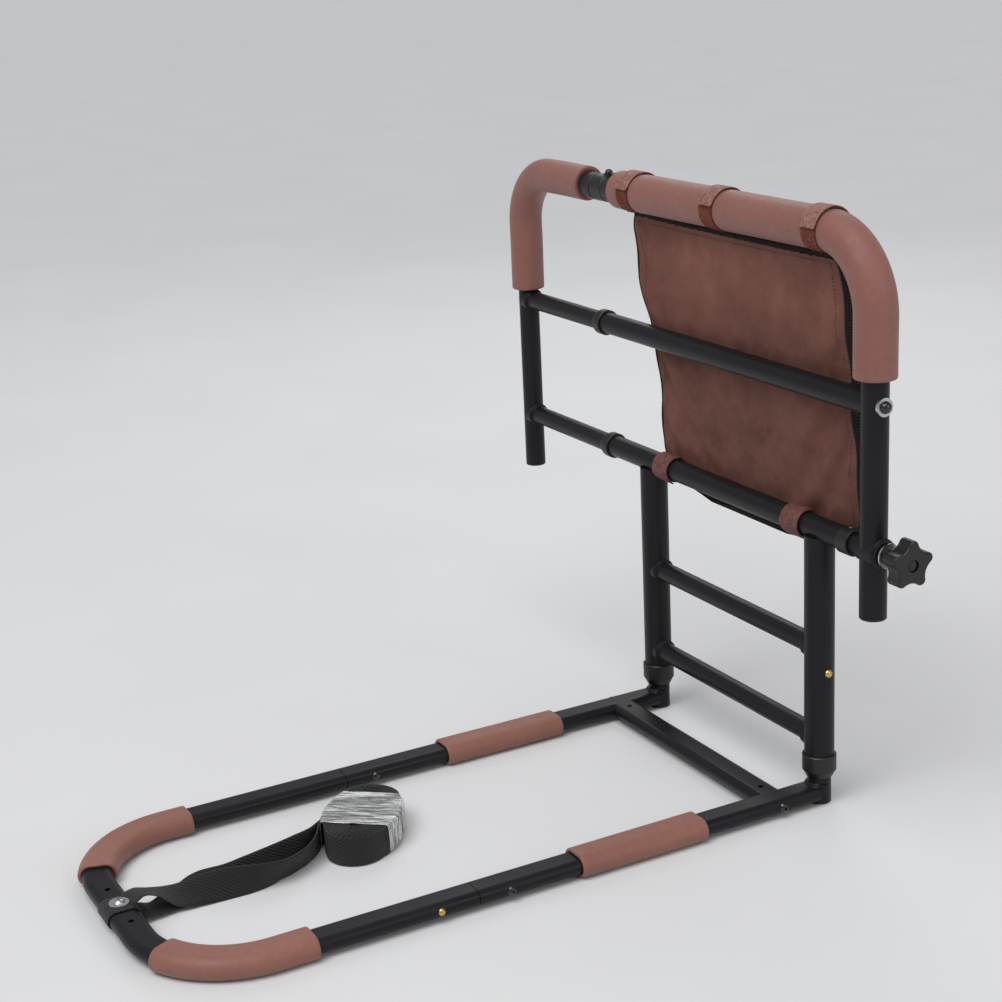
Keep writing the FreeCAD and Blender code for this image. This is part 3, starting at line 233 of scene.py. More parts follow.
class Look:
    """Builds the nodes of one finish on a Principled shader."""

    def __init__(self, name, **constants):
        self.material = bpy.data.materials.new(name)
        self.material.use_nodes = True
        self.tree = self.material.node_tree
        self.shader = self.tree.nodes["Principled BSDF"]
        for socket, value in constants.items():
            self.shader.inputs[socket.replace("_", " ")].default_value = value

    def node(self, kind, inputs=None, **values):
        return add_node(self.tree, kind, inputs, **values)

    def place(self, uv=False, scale=(1, 1, 1)):
        coordinate = self.node("ShaderNodeTexCoord").outputs["UV" if uv else "Object"]
        return self.node("ShaderNodeMapping", {"Vector": coordinate, "Scale": scale}).outputs["Vector"]

    def noise(self, where, scale, detail=2.0, rough=0.5):
        return self.node("ShaderNodeTexNoise", {"Vector": where, "Scale": scale, "Detail": detail,
                                                "Roughness": rough}).outputs["Fac"]

    def cells(self, where, scale, randomness=1.0):
        inputs = {"Vector": where, "Scale": scale, "Randomness": randomness}
        return self.node("ShaderNodeTexVoronoi", inputs, feature="F1").outputs["Distance"]

    def bands(self, where, scale, way, distortion=0.0):
        inputs = {"Vector": where, "Scale": scale, "Distortion": distortion}
        return self.node("ShaderNodeTexWave", inputs, wave_type="BANDS", bands_direction=way).outputs["Fac"]

    def spread(self, value, low, high, a=0.3, b=0.7):
        return self.node("ShaderNodeMapRange", {"Value": value, "From Min": a, "From Max": b, "To Min": low,
                                                "To Max": high}).outputs["Result"]

    def mixed(self, factor, one, two):
        made = self.node("ShaderNodeMix", data_type="RGBA")
        for name, value in (("Factor", factor), ("A", one), ("B", two)):
            socket = next(s for s in made.inputs if s.name == name and s.enabled)
            if isinstance(value, bpy.types.NodeSocket):
                self.tree.links.new(value, socket)
            else:
                socket.default_value = value if name == "Factor" else (*value, 1)
        return next(s for s in made.outputs if s.enabled)

    def math(self, operation, one, two=0.0):
        return self.node("ShaderNodeMath", {0: one, 1: two}, operation=operation).outputs[0]

    def bump(self, height, distance, strength=1.0, under=None):
        inputs = {"Height": height, "Distance": distance, "Strength": strength}
        if under is not None:
            inputs["Normal"] = under
        return self.node("ShaderNodeBump", inputs).outputs["Normal"]

    def end(self, colour=None, rough=None, normal=None, alpha=None):
        given = {"Base Color": colour, "Roughness": rough, "Normal": normal, "Alpha": alpha}
        for name, value in given.items():
            if value is not None:
                self.tree.links.new(value, self.shader.inputs[name])
        return self.material


def shade(colour, factor):
    return tuple(min(1.0, c * factor) for c in colour)


def powder_coat(name, base, rough):
    """Satin powder coat: orange peel, faint dust and a few rubbed places."""
    look = Look(name, Specular_IOR_Level=0.22)
    where = look.place()
    peel = look.noise(where, 900.0, 1.0)
    slow = look.noise(where, 14.0, 3.0)
    rubbed = look.spread(look.noise(where, 55.0, 4.0, 0.7), 0.0, 1.0, 0.62, 0.78)
    tone = look.mixed(look.spread(slow, 0.0, 1.0), shade(base, 0.86), shade(base, 1.16))
    tone = look.mixed(look.math("MULTIPLY", rubbed, 0.35), tone, shade(base, 1.9))
    worn = look.math("MULTIPLY", rubbed, 0.06)
    shine = look.math("ADD", look.spread(slow, rough - 0.05, rough + 0.07), worn)
    return look.end(tone, shine, look.bump(peel, 0.00012, 0.35))


def moulded_plastic(name, base, rough, grain=1500.0):
    """Moulded plastic with a fine spark-eroded grain."""
    look = Look(name, Specular_IOR_Level=0.5)
    where = look.place()
    fine = look.noise(where, grain, 2.0, 0.6)
    slow = look.noise(where, 40.0, 3.0)
    tone = look.mixed(look.spread(slow, 0.0, 1.0), shade(base, 0.85), shade(base, 1.2))
    return look.end(tone, look.spread(slow, rough - 0.06, rough + 0.08), look.bump(fine, 0.00015, 0.4))


def bright_metal(name, base, rough, turn_scale=700.0):
    look = Look(name, Metallic=1.0)
    where = look.place()
    lines = look.noise(look.place(scale=(turn_scale, 40.0, 40.0)), 1.0, 2.0)
    slow = look.noise(where, 90.0, 3.0)
    tone = look.mixed(look.spread(slow, 0.0, 1.0), shade(base, 0.86), shade(base, 1.08))
    return look.end(tone, look.spread(lines, rough - 0.06, rough + 0.1), look.bump(lines, 0.00003, 0.3))


def gloss_black(name, base):
    look = Look(name, Roughness=0.16, Coat_Weight=0.4, Coat_Roughness=0.08)
    where = look.place()
    slow = look.noise(where, 120.0, 2.0)
    tone = look.mixed(look.spread(slow, 0.0, 1.0), shade(base, 0.8), shade(base, 1.3))
    return look.end(tone, look.spread(slow, 0.12, 0.24), look.bump(look.noise(where, 700.0), 0.00004, 0.3))


def foam_skin(name, base):
    """Closed-cell foam with a satin skin: pin-sized cells, faint mottling and scuffs."""
    look = Look(name, Specular_IOR_Level=0.42, Sheen_Weight=0.12, Sheen_Roughness=0.5)
    where = look.place()
    cells = look.cells(where, 1300.0)
    slow = look.noise(where, 9.0, 4.0, 0.55)
    mottle = look.noise(where, 130.0, 3.0, 0.6)
    fine = look.noise(where, 1600.0, 2.0, 0.6)
    tone = look.mixed(look.spread(slow, 0.0, 1.0), shade(base, 0.92), shade(base, 1.1))
    tone = look.mixed(look.spread(mottle, 0.0, 0.5), tone, shade(base, 0.86))
    tone = look.mixed(look.spread(fine, 0.0, 0.35, 0.55, 0.8), tone, shade(base, 0.7))
    bumps = look.bump(cells, 0.00018, 0.35)
    return look.end(tone, look.spread(mottle, 0.46, 0.6), look.bump(mottle, 0.00035, 0.3, bumps))


def woven(look, where, across, along, depth, under=None):
    """Height of a plain weave with the given threads in each metre."""
    height = look.math("MAXIMUM", look.bands(where, across, "X"), look.bands(where, along, "Y"))
    return height, look.bump(height, depth, 0.5, under)


def bag_cloth(name, base):
    """Brushed coated cloth: fine weave, nap that lies lighter and darker in patches, soft handling marks, and
    painted light that makes the bag's upper part lighter.
    """
    look = Look(name, Specular_IOR_Level=0.22, Sheen_Weight=0.18, Sheen_Roughness=0.5,
                Sheen_Tint=(*shade(base, 2.2), 1))
    where = look.place(uv=True)
    height, weave = woven(look, where, 220.0, 220.0, 0.00022)
    slow = look.noise(look.place(scale=(0.8, 1, 1.1)), 15.0, 4.0, 0.6)
    # Painted light: from about 0.46 to 0.55 m up, the tone blends into a lighter, lit copy of the cloth's colours,
    # so the bag's upper part is painted brighter.
    up = look.spread(look.node("ShaderNodeSeparateXYZ", {"Vector": where}).outputs["Y"], 0.0, 1.0, 0.46, 0.55)
    nap = look.noise(look.place(), 60.0, 6.0, 0.7)
    speck = look.noise(where, 420.0, 4.0, 0.75)
    fine = look.noise(where, 900.0, 2.0)
    patch = look.spread(slow, 0.0, 1.0, 0.36, 0.64)
    # Painted light: the first mix is the lower, shaded copy of the cloth and the second is the lit copy used for
    # the upper part.
    tone = look.mixed(up, look.mixed(patch, shade(base, 0.74), shade(base, 1.2)),
                      look.mixed(patch, shade(base, 1.2), shade(base, 1.85)))
    tone = look.mixed(look.spread(nap, 0.0, 0.7, 0.44, 0.7), tone, shade(base, 1.36))
    tone = look.mixed(look.spread(speck, 0.0, 0.3, 0.5, 0.75), tone, shade(base, 0.62))
    tone = look.mixed(look.math("MULTIPLY", height, 0.14), tone, shade(base, 0.7))
    return look.end(tone, look.spread(nap, 0.74, 0.9), look.bump(look.math("ADD", nap, fine), 0.0005, 0.3, weave))


def gusset_mesh(name, base):
    """Open knitted mesh: rows of round holes in a soft dark ground, the holes painted near black as painted shade
    from the bag's inside.
    """
    look = Look(name, Specular_IOR_Level=0.15)
    where = look.place(uv=True)
    holes = look.cells(where, 330.0, 0.12)
    # Painted shade: the holes are darkened to near black in place of the shaded inside seen through them; the same
    # mask sinks them in the bump.
    hole_depth_and_shade = look.spread(holes, 1.0, 0.0, 0.2, 0.45)
    tone = look.mixed(hole_depth_and_shade, shade(base, 1.5), shade(base, 0.15))
    return look.end(tone, look.spread(holes, 0.95, 0.6, 0.1, 0.5), look.bump(hole_depth_and_shade, -0.0008, 0.7))


def edge_binding(name, base):
    """Dark folded binding with the tight dots of its seam."""
    look = Look(name, Specular_IOR_Level=0.25)
    where = look.place(uv=True)
    dots = look.bands(where, 110.0, "Y", 1.5)
    worn = look.noise(look.place(), 180.0, 3.0)
    tone = look.mixed(look.math("MULTIPLY", dots, 0.7), shade(base, 0.35), shade(base, 1.1))
    return look.end(tone, look.spread(worn, 0.7, 0.9), look.bump(dots, 0.0004, 0.6))


def smooth_tape(name, base):
    """The ribbed back of hook-and-loop tape, with the speckle of the hooks' roots showing through."""
    look = Look(name, Specular_IOR_Level=0.3, Sheen_Weight=0.1, Sheen_Roughness=0.4,
                Sheen_Tint=(*shade(base, 1.6), 1))
    where = look.place(uv=True)
    height, weave = woven(look, where, 260.0, 160.0, 0.00028)
    mottle = look.noise(look.place(), 200.0, 5.0, 0.85)
    roots = look.cells(where, 560.0, 0.4)
    tone = look.mixed(look.spread(mottle, 0.0, 1.0, 0.42, 0.58), shade(base, 0.55), shade(base, 1.35))
    tone = look.mixed(look.math("MULTIPLY", height, 0.3), tone, shade(base, 0.7))
    tone = look.mixed(look.spread(roots, 0.35, 0.0, 0.1, 0.4), tone, shade(base, 0.5))
    return look.end(tone, look.spread(mottle, 0.55, 0.75), look.bump(roots, -0.0002, 0.4, weave))


def looped_pile(name, base):
    """The fuzzy side of hook-and-loop tape: tangled loops, with painted shade darkening the sunken gaps between
    them and the sunken clumps.
    """
    look = Look(name, Specular_IOR_Level=0.15, Sheen_Weight=0.12, Sheen_Roughness=0.6, Roughness=0.92,
                Sheen_Tint=(*shade(base, 1.8), 1))
    where = look.place()
    loop_gaps_depth_and_shade = look.cells(where, 620.0)
    clump_depth_and_shade = look.noise(where, 125.0, 5.0, 0.85)
    # Painted shade: the gaps between loops and the clumps, which the bump sinks, are painted darker; the loops'
    # tops are painted lighter.
    tone = look.mixed(look.spread(loop_gaps_depth_and_shade, 0.0, 1.0, 0.1, 0.6), shade(base, 1.3), shade(base, 0.45))
    tone = look.mixed(look.spread(clump_depth_and_shade, 0.0, 0.8, 0.46, 0.6), tone, shade(base, 0.34))
    return look.end(tone, None, look.bump(look.math("ADD", loop_gaps_depth_and_shade, clump_depth_and_shade), -0.0009, 0.7))


def ribbed_webbing(name, base):
    """Polypropylene webbing: slanting twill ribs and short cross picks, painted dark in their troughs and light on
    their crests as painted shade and light, and a painted highlight along the selvedge.
    """
    look = Look(name, Specular_IOR_Level=0.35, Sheen_Weight=0.08)
    where = look.place(uv=True)
    ribs = look.bands(look.place(uv=True, scale=(1, 0.62, 1)), 175.0, "DIAGONAL")
    picks = look.bands(where, 230.0, "Y", 0.4)
    height = look.math("MULTIPLY", look.math("ADD", ribs, 0.35), look.math("ADD", picks, 0.6))
    slow = look.noise(look.place(), 45.0, 3.0)
    across = look.node("ShaderNodeSeparateXYZ", {"Vector": where}).outputs["X"]
    selvedge_highlight = look.spread(look.math("ABSOLUTE", across), 0.0, 0.55, 0.0146, 0.0157)
    # Painted shade and light: the weave's troughs are darkened and its crests lightened, following the same height
    # as the bump.
    tone = look.mixed(look.math("MULTIPLY", height, 0.6), shade(base, 0.3), shade(base, 2.9))
    tone = look.mixed(look.spread(slow, 0.0, 0.25), tone, shade(base, 1.3))
    # Painted highlight: the strip's edges are painted much lighter.
    tone = look.mixed(selvedge_highlight, tone, shade(base, 4.0))
    return look.end(tone, look.spread(slow, 0.5, 0.68), look.bump(height, 0.0006, 1.0))


def clear_film(name):
    """Thin creased film: clear where it lies smooth, glossy along its creases, with white painted highlights laid
    on as opacity along its streaks.
    """
    look = Look(name, Base_Color=(0.86, 0.87, 0.87, 1), IOR=1.45, Specular_IOR_Level=0.9, Coat_Weight=1.0,
                Coat_Roughness=0.05)
    pulled = look.place(uv=True, scale=(1, 0.09, 1))
    streak = look.noise(pulled, 260.0, 5.0, 0.72)
    broad = look.noise(look.place(uv=True, scale=(1, 0.3, 1)), 60.0, 2.0, 0.5)
    # Painted highlight: the film turns white and opaque along the streaks, standing in for the glints off its
    # creases.
    crease_highlight = look.math("MULTIPLY", look.spread(streak, 0.0, 1.0, 0.45, 0.62),
                      look.spread(broad, 0.25, 1.0, 0.38, 0.6))
    alpha = look.math("MINIMUM", look.math("ADD", 0.1, crease_highlight), 0.97)
    return look.end(None, look.spread(streak, 0.3, 0.1), look.bump(streak, 0.0012, 0.8), alpha)


def sewing_thread(name, base):
    look = Look(name, Specular_IOR_Level=0.3, Sheen_Weight=0.3)
    twist = look.noise(look.place(), 2200.0, 1.0)
    tone = look.mixed(look.spread(twist, 0.0, 1.0), shade(base, 0.6), shade(base, 1.4))
    return look.end(tone, look.spread(twist, 0.5, 0.7), look.bump(twist, 0.0001, 0.5))


def stone_floor(name, base):
    look = Look(name, Specular_IOR_Level=0.2)
    where = look.place()
    slow = look.noise(where, 3.0, 4.0)
    tone = look.mixed(look.spread(slow, 0.0, 1.0), shade(base, 0.985), shade(base, 1.01))
    return look.end(tone, look.spread(slow, 0.6, 0.72), None)


LOOKS = {}
# How much of the strap tape's red, green and blue is kept for the lower straps, which are coloured darker and
# greyer
LOWER_TAPE_SHARES = (0.56, 0.46, 0.5)


def look_for(kind):
    """Each finish is made once, when it is first asked for."""
    colours = bpy.context.scene.bed_rail_colours
    darker_lower_tape = [c * share for c, share in zip(colours.tape, LOWER_TAPE_SHARES)]
    makers = {
        "steel": lambda: powder_coat("satin_powder_coat", colours.steel, 0.36),
        "plastic": lambda: moulded_plastic("moulded_black_plastic", colours.plastic, 0.42),
        "knob": lambda: moulded_plastic("knob_black_plastic", shade(colours.plastic, 0.9), 0.34, 2100.0),
        "gloss": lambda: gloss_black("glossy_black_head", shade(colours.steel, 0.7)),
        "brass": lambda: bright_metal("turned_brass", colours.brass, 0.24),
        "zinc": lambda: bright_metal("zinc_plate", colours.zinc, 0.26),
        "rail_foam": lambda: foam_skin("handrail_foam_skin", colours.rail_foam),
        "base_foam": lambda: foam_skin("base_foam_skin", colours.base_foam),
        "bag": lambda: bag_cloth("bag_brushed_cloth", colours.bag),
        "gusset": lambda: gusset_mesh("gusset_dark_mesh", colours.gusset),
        "tape": lambda: smooth_tape("strap_smooth_tape", colours.tape),
        "darker_lower_tape": lambda: smooth_tape("strap_worn_tape", darker_lower_tape),
        "pile": lambda: looped_pile("strap_looped_pile", colours.pile),
        "webbing": lambda: ribbed_webbing("ribbed_black_webbing", colours.webbing),
        "film": lambda: clear_film("clear_wrinkled_film"),
        "binding": lambda: edge_binding("dark_edge_binding", colours.gusset),
        "dark_thread": lambda: sewing_thread("dark_sewing_thread", shade(colours.gusset, 0.55)),
        "brown_thread": lambda: sewing_thread("brown_sewing_thread", shade(colours.bag, 0.62)),
        "floor": lambda: stone_floor("pale_floor", colours.floor),
    }
    if kind not in LOOKS:
        LOOKS[kind] = makers[kind]()
    return LOOKS[kind]


# Which finish each carried-over part gets, by the record's material slots
SLOT_LOOKS = {
    "black_steel": "steel",
    "black_plastic": "plastic",
    "knob_plastic": "knob",
    "black_screw": "gloss",
    "brass": "brass",
    "zinc_steel": "zinc",
    "foam": "rail_foam",
    "bag_fabric": "bag",
    "strap_fabric": "tape",
    "webbing": "webbing",
    "clear_film": "film",
}


class BEDRAIL_OT_finish_parts(bpy.types.Operator):
    """Give every carried-over part its finish"""
    bl_idname = "bed_rail.finish_parts"
    bl_label = "Finish the rigid parts"

    def execute(self, context):
        slots = {row["node"]: row["material_slot"] for row in frame["record"]["subparts"]}
        for name, node in frame["nodes"].items():
            look = look_for(SLOT_LOOKS[slots[name]])
            node.data.materials.clear()
            node.data.materials.append(look)
        return {"FINISHED"}


# Foam sleeves

def arc_points(centre, start, end, turn_a, turn_b, count):
    """Points on an arc: centre plus start and end vectors weighted by the turn."""
    made = []
    for n in range(count):
        a = math.radians(turn_a + (turn_b - turn_a) * n / (count - 1))
        made.append(centre + start * math.cos(a) + end * math.sin(a))
    return made


def straight(a, b, step):
    count = max(2, int((b - a).length / step))
    return [a.lerp(b, n / count) for n in range(count)]


def line_lengths(path):
    """Length run from the start of a line of points to each of them."""
    return [0.0] + list(np.cumsum([(b - a).length for a, b in zip(path, path[1:])]))


def place_along(path, runs, along):
    """Place and direction at a length along a line of points."""
    n = min(max(int(np.searchsorted(runs, along)) - 1, 0), len(path) - 2)
    share = (along - runs[n]) / (runs[n + 1] - runs[n])
    first, last = max(n - 1, 0), min(n + 2, len(path) - 1)
    if along <= 0.0:
        last = 1
    if along >= runs[-1]:
        first = len(path) - 2
    return path[n].lerp(path[n + 1], share), (path[last] - path[first]).normalized()


def foam_sleeve(name, path, wide_way, section, bore, seed, dents=()):
    """A closed foam tube along a line: the skin between two rounded cut ends, then back through the bore."""
    sizes = bpy.context.scene.bed_rail_sizes
    around, end_round = 72, sizes.foam_end_round
    rng = np.random.default_rng(seed)
    waves = [(rng.uniform(18, 60), rng.integers(0, 4), rng.uniform(0, 6.28), rng.uniform(0, 6.28))
             for _ in range(6)]
    runs = line_lengths(path)
    end = runs[-1]
    rounding = [(end_round * (1 - math.cos(a)), end_round * (1 - math.sin(a)))
                for a in np.linspace(0, math.pi / 2, 6)]
    rows = list(rounding)
    rows += [(run, 0.0) for run in runs if end_round * 1.3 < run < end - end_round * 1.3]
    rows += [(end - along, pull) for along, pull in reversed(rounding)]
    rows += [(along, None) for along in np.linspace(end - 0.0012, 0.0012, 14)]
    points, uv = [], []
    for along, pull in rows:
        place, way = place_along(path, runs, along)
        wide = (wide_way - way * wide_way.dot(way)).normalized()
        high = way.cross(wide)
        dent = sum(depth * math.exp(-((along - where) / half) ** 4) for where, half, depth in dents)
        for k in range(around):
            a = 2 * math.pi * k / around
            u, v = bore(a) if pull is None else section(a)
            if pull is not None:
                size = math.hypot(u, v)
                ripple = sum(math.sin(f * along + s * a + p) * math.sin(f * 0.37 * along + q)
                             for f, s, p, q in waves)
                share = 1 + (sizes.foam_ripple * ripple / 3 - pull - dent) / size
                u, v = u * share, v * share
            points.append(place + wide * u + high * v)
            uv.append((k / around * 0.13, along))
    faces = grid_faces(len(rows), around, close_rows=True, close_cols=True)
    return outward(new_piece(name, points, faces, uv=uv))


def fit_sleeve(sleeve, look, body, node):
    finish_piece(sleeve, body, look_for(look), "foam", node)


def round_outline(radius):
    return lambda a: (radius * math.cos(a), radius * math.sin(a))


def oval_outline(width, height):
    """Flat oval outline by angle: wide way first."""
    flat = (width - height) / 2
    r = height / 2

    def outline(a):
        c, s = math.cos(a), math.sin(a)
        if abs(s) * flat > abs(c) * r:
            return flat_hit(c, s)
        # Ray against the end circle centred at flat on the wide axis.
        far = abs(c) * flat + math.sqrt(max(0.0, r * r - (flat * s) ** 2))
        return far * c, far * s

    def flat_hit(c, s):
        return c * r / abs(s), math.copysign(r, s)

    return outline


def rail_line(post_x, low_z, bend_r, end_x, step=3.0):
    """Middle line of one handrail half's foam, up the post, round the bend and along the top."""
    top = TOP_Z * 1000
    way = 1 if end_x > post_x else -1
    centre = spot(post_x + way * bend_r, 0, top - bend_r)
    path = straight(spot(post_x, 0, low_z), spot(post_x, 0, top - bend_r), step / 1000)
    aside, upward = Vector((-way * bend_r / 1000, 0, 0)), Vector((0, 0, bend_r / 1000))
    path += arc_points(centre, aside, upward, 0, 90, 32)[:-1]
    path += straight(spot(post_x + way * bend_r, 0, top), spot(end_x, 0, top), step / 1000)
    path.append(spot(end_x, 0, top))
    return path


TOP_STRAP_XS = (-177.0, -10.5, 166.5)
LOW_STRAP_XS = (-122.5, 123.5)


# Where the base sleeves sit as photographed, the two sides pushed on by hand and not quite alike: rear end
# of the middle sleeve and of the corner sleeve in millimetres, and its turn round the corner in degrees
BASE_SLEEVES = {"near": (-155.0, -589.5, 65.0), "far": (-145.0, -600.0, 72.5)}
MIDDLE_SLEEVE_LENGTH = 150.0

# Each half's handrail foam: bend radius in millimetres, then outer and bore radius in metres
NEAR_BEND_R, NEAR_FOAM_R, NEAR_BORE_R = 75.0, 0.0218, 0.01405
FAR_BEND_R, FAR_FOAM_R, FAR_BORE_R = 65.0, 0.0203, 0.01255
# How a strap pinches the foam: half the dent's width, and its depth
STRAP_DENT = (0.0135, 0.0005)
# The base foam's outline and bore, wide way first, how far it sits low, and the loop's corner radius
BASE_FOAM, BASE_BORE, BASE_FOAM_SAG = (0.0404, 0.0248), (0.0321, 0.0171), 0.0005
LOOP_CORNER_R, LOOP_HALF_WIDTH = 0.1, 0.016
FOAM_STEP = 0.003


class BEDRAIL_OT_foam_sleeves(bpy.types.Operator):
    """Build the six foam sleeves with rounded ends, dents under the straps and an uneven skin"""
    bl_idname = "bed_rail.foam_sleeves"
    bl_label = "Foam sleeves"

    def execute(self, context):
        self.handrail_sleeves()
        outer, bore = oval_outline(*BASE_FOAM), oval_outline(*BASE_BORE)
        for side, name in ((1, "near"), (-1, "far")):
            for seed, part, path in self.base_lines(side, name):
                sleeve = foam_sleeve(f"base_foam_{part}_{name}", path, Vector((1, 0, 0)), outer, bore, seed + side)
                node = {"middle": "mid_foam_", "corner": "corner_foam_"}[part] + name
                fit_sleeve(sleeve, "base_foam", "base", node)
        return {"FINISHED"}

    def handrail_sleeves(self):
        along_y = Vector((0, 1, 0))
        low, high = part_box("grip_foam_near")
        end = (low.x - MID_X) * 1000
        path = rail_line((NEAR_POST_X - MID_X) * 1000, low.z * 1000, NEAR_BEND_R, end)
        whole = line_lengths(path)[-1]
        dents = [(whole - (x - end) / 1000, *STRAP_DENT) for x in TOP_STRAP_XS]
        skin, bore = round_outline(NEAR_FOAM_R), round_outline(NEAR_BORE_R)
        sleeve = foam_sleeve("handrail_foam_near", path, along_y, skin, bore, 3, dents)
        fit_sleeve(sleeve, "rail_foam", "handrail", "grip_foam_near")
        low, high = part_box("grip_foam_far")
        path = rail_line((FAR_POST_X - MID_X) * 1000, low.z * 1000, FAR_BEND_R, (high.x - MID_X) * 1000)
        skin, bore = round_outline(FAR_FOAM_R), round_outline(FAR_BORE_R)
        sleeve = foam_sleeve("handrail_foam_far", path, along_y, skin, bore, 4)
        fit_sleeve(sleeve, "rail_foam", "far_half", "grip_foam_far")

    def base_lines(self, side, name):
        """Seed, part and middle line of one side's two base sleeves."""
        x, level = MID_X + side * LADDER_HALF, ARM_Z - BASE_FOAM_SAG
        bend_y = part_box("front_loop")[0].y + LOOP_HALF_WIDTH + LOOP_CORNER_R
        middle_y, corner_y, turn = BASE_SLEEVES[name]
        start = Vector((x, RAIL_Y + middle_y / 1000, level))
        end = start - Vector((0, 1, 0)) * MIDDLE_SLEEVE_LENGTH / 1000
        middle_line = straight(start, end, FOAM_STEP) + [end]
        start = Vector((x, RAIL_Y + corner_y / 1000, level))
        corner_line = straight(start, Vector((x, bend_y, level)), FOAM_STEP)
        centre = Vector((x - side * LOOP_CORNER_R, bend_y, level))
        aside, ahead = Vector((side * LOOP_CORNER_R, 0, 0)), Vector((0, -LOOP_CORNER_R, 0))
        corner_line += arc_points(centre, aside, ahead, 0, turn, 44)
        return (5, "middle", middle_line), (11, "corner", corner_line)


# Rows of like pieces along a line: stitches and weld ripples

def row_tree():
    """Round-ended beads set along a line and turned to it, slanting one way and then the other."""
    tree = bpy.data.node_groups.new("beads_along_line", "GeometryNodeTree")
    face = tree.interface
    face.new_socket("Line", in_out="INPUT", socket_type="NodeSocketGeometry")
    for name, kind, value in (("Spacing", "Float", 0.004), ("Size", "Vector", (0.001, 0.001, 0.003)),
                              ("Slant", "Float", 0.0), ("Outward", "Vector", (0.0, -1.0, 0.0)),
                              ("Unevenness", "Float", 0.05), ("Seed", "Int", 1), ("Material", "Material", None)):
        socket = face.new_socket(name, in_out="INPUT", socket_type="NodeSocket" + kind)
        if value is not None:
            socket.default_value = value
    face.new_socket("Beads", in_out="OUTPUT", socket_type="NodeSocketGeometry")

    def node(kind, inputs=None, **values):
        return add_node(tree, kind, inputs, **values)

    given = node("NodeGroupInput").outputs
    line = node("GeometryNodeMeshToCurve", {"Mesh": given["Line"]}).outputs[0]
    along = {"Curve": line, "Length": given["Spacing"]}
    spots = node("GeometryNodeCurveToPoints", along, mode="LENGTH").outputs
    index = node("GeometryNodeInputIndex").outputs[0]
    parity = node("ShaderNodeMath", {0: index, 1: 2.0}, operation="MODULO").outputs[0]
    way = node("ShaderNodeMath", {0: parity, 1: 2.0, 2: -1.0}, operation="MULTIPLY_ADD").outputs[0]
    chance = node("FunctionNodeRandomValue", {"Seed": given["Seed"]}, data_type="FLOAT")
    stray = next(s for s in chance.outputs if s.enabled)
    for name, value in (("Min", -1.0), ("Max", 1.0)):
        next(s for s in chance.inputs if s.name == name and s.enabled).default_value = value
    slant = node("ShaderNodeMath", {0: way, 1: given["Slant"]}, operation="MULTIPLY").outputs[0]
    shaken = node("ShaderNodeMath", {0: stray, 1: given["Unevenness"], 2: slant},
                  operation="MULTIPLY_ADD").outputs[0]
    lying = node("ShaderNodeVectorRotate", {"Vector": spots["Tangent"], "Axis": given["Outward"], "Angle": shaken},
                 rotation_type="AXIS_ANGLE").outputs[0]
    turned = node("FunctionNodeAlignRotationToVector", {"Vector": lying}, axis="Z").outputs[0]
    bead = node("GeometryNodeMeshUVSphere", {"Segments": 8, "Rings": 5, "Radius": 0.5}).outputs[0]
    grown = node("ShaderNodeMath", {0: stray, 1: given["Unevenness"], 2: 1.0},
                 operation="MULTIPLY_ADD").outputs[0]
    size = node("ShaderNodeVectorMath", {0: given["Size"], "Scale": grown}, operation="SCALE").outputs[0]
    row = {"Points": spots["Points"], "Instance": bead, "Rotation": turned, "Scale": size}
    set_out = node("GeometryNodeInstanceOnPoints", row).outputs[0]
    real = node("GeometryNodeRealizeInstances", {0: set_out}).outputs[0]
    smooth = node("GeometryNodeSetShadeSmooth", {0: real}).outputs[0]
    coloured = node("GeometryNodeSetMaterial", {"Geometry": smooth, "Material": given["Material"]}).outputs[0]
    node("NodeGroupOutput", {0: coloured})
    return tree


def bead_rows(name, lines, look, spacing, size, slant=0.0, uneven=0.05, seed=1):
    """One plain mesh of beads set along the given lines of places."""
    points, edges = [], []
    for line in lines:
        start = len(points)
        points += [tuple(p) for p in line]
        edges += [(start + n, start + n + 1) for n in range(len(line) - 1)]
    mesh = bpy.data.meshes.new(name)
    mesh.from_pydata(points, edges, [])
    piece = linked(name, mesh)
    tree = bpy.data.node_groups.get("beads_along_line") or row_tree()
    beads = piece.modifiers.new("beads", "NODES")
    beads.node_group = tree
    values = {"Spacing": spacing, "Size": size, "Slant": slant, "Unevenness": uneven, "Seed": seed,
              "Material": look}
    for item in tree.interface.items_tree:
        if item.in_out == "INPUT" and item.name in values:
            beads[item.identifier] = values[item.name]
    return applied(piece)


# Storage bag

# Outline of the bag, in millimetres from the ladder's middle: height, left edge, right edge.
BAG_OUTLINE = (
    (591.0, -203.0, 160.0),
    (584.0, -208.0, 168.0),
    (572.0, -211.0, 172.5),
    (556.0, -209.5, 173.5),
    (535.0, -206.0, 174.5),
    (512.0, -200.0, 177.0),
    (490.0, -193.0, 181.0),
    (468.0, -183.0, 185.0),
    (446.0, -173.0, 189.0),
    (410.0, -166.0, 193.0),
    (377.0, -161.0, 197.0),
    (345.0, -160.0, 199.5),
    (322.0, -157.0, 199.5),
    (308.0, -151.0, 197.0),
    (299.0, -136.0, 188.0),
    (290.0, -113.0, 152.0),
    (284.0, -90.0, 122.0),
    (279.0, -62.0, 78.0),
)
BAG_TOP, BAG_HEM = 591.0, 279.0
BAG_BAR_Y = 16.0
BAG_DEPTH = 23.0
PANEL_COLUMNS, SIDE_COLUMNS, BAG_ROWS = 70, 5, 58
BAG_RING = 2 * (PANEL_COLUMNS + SIDE_COLUMNS)


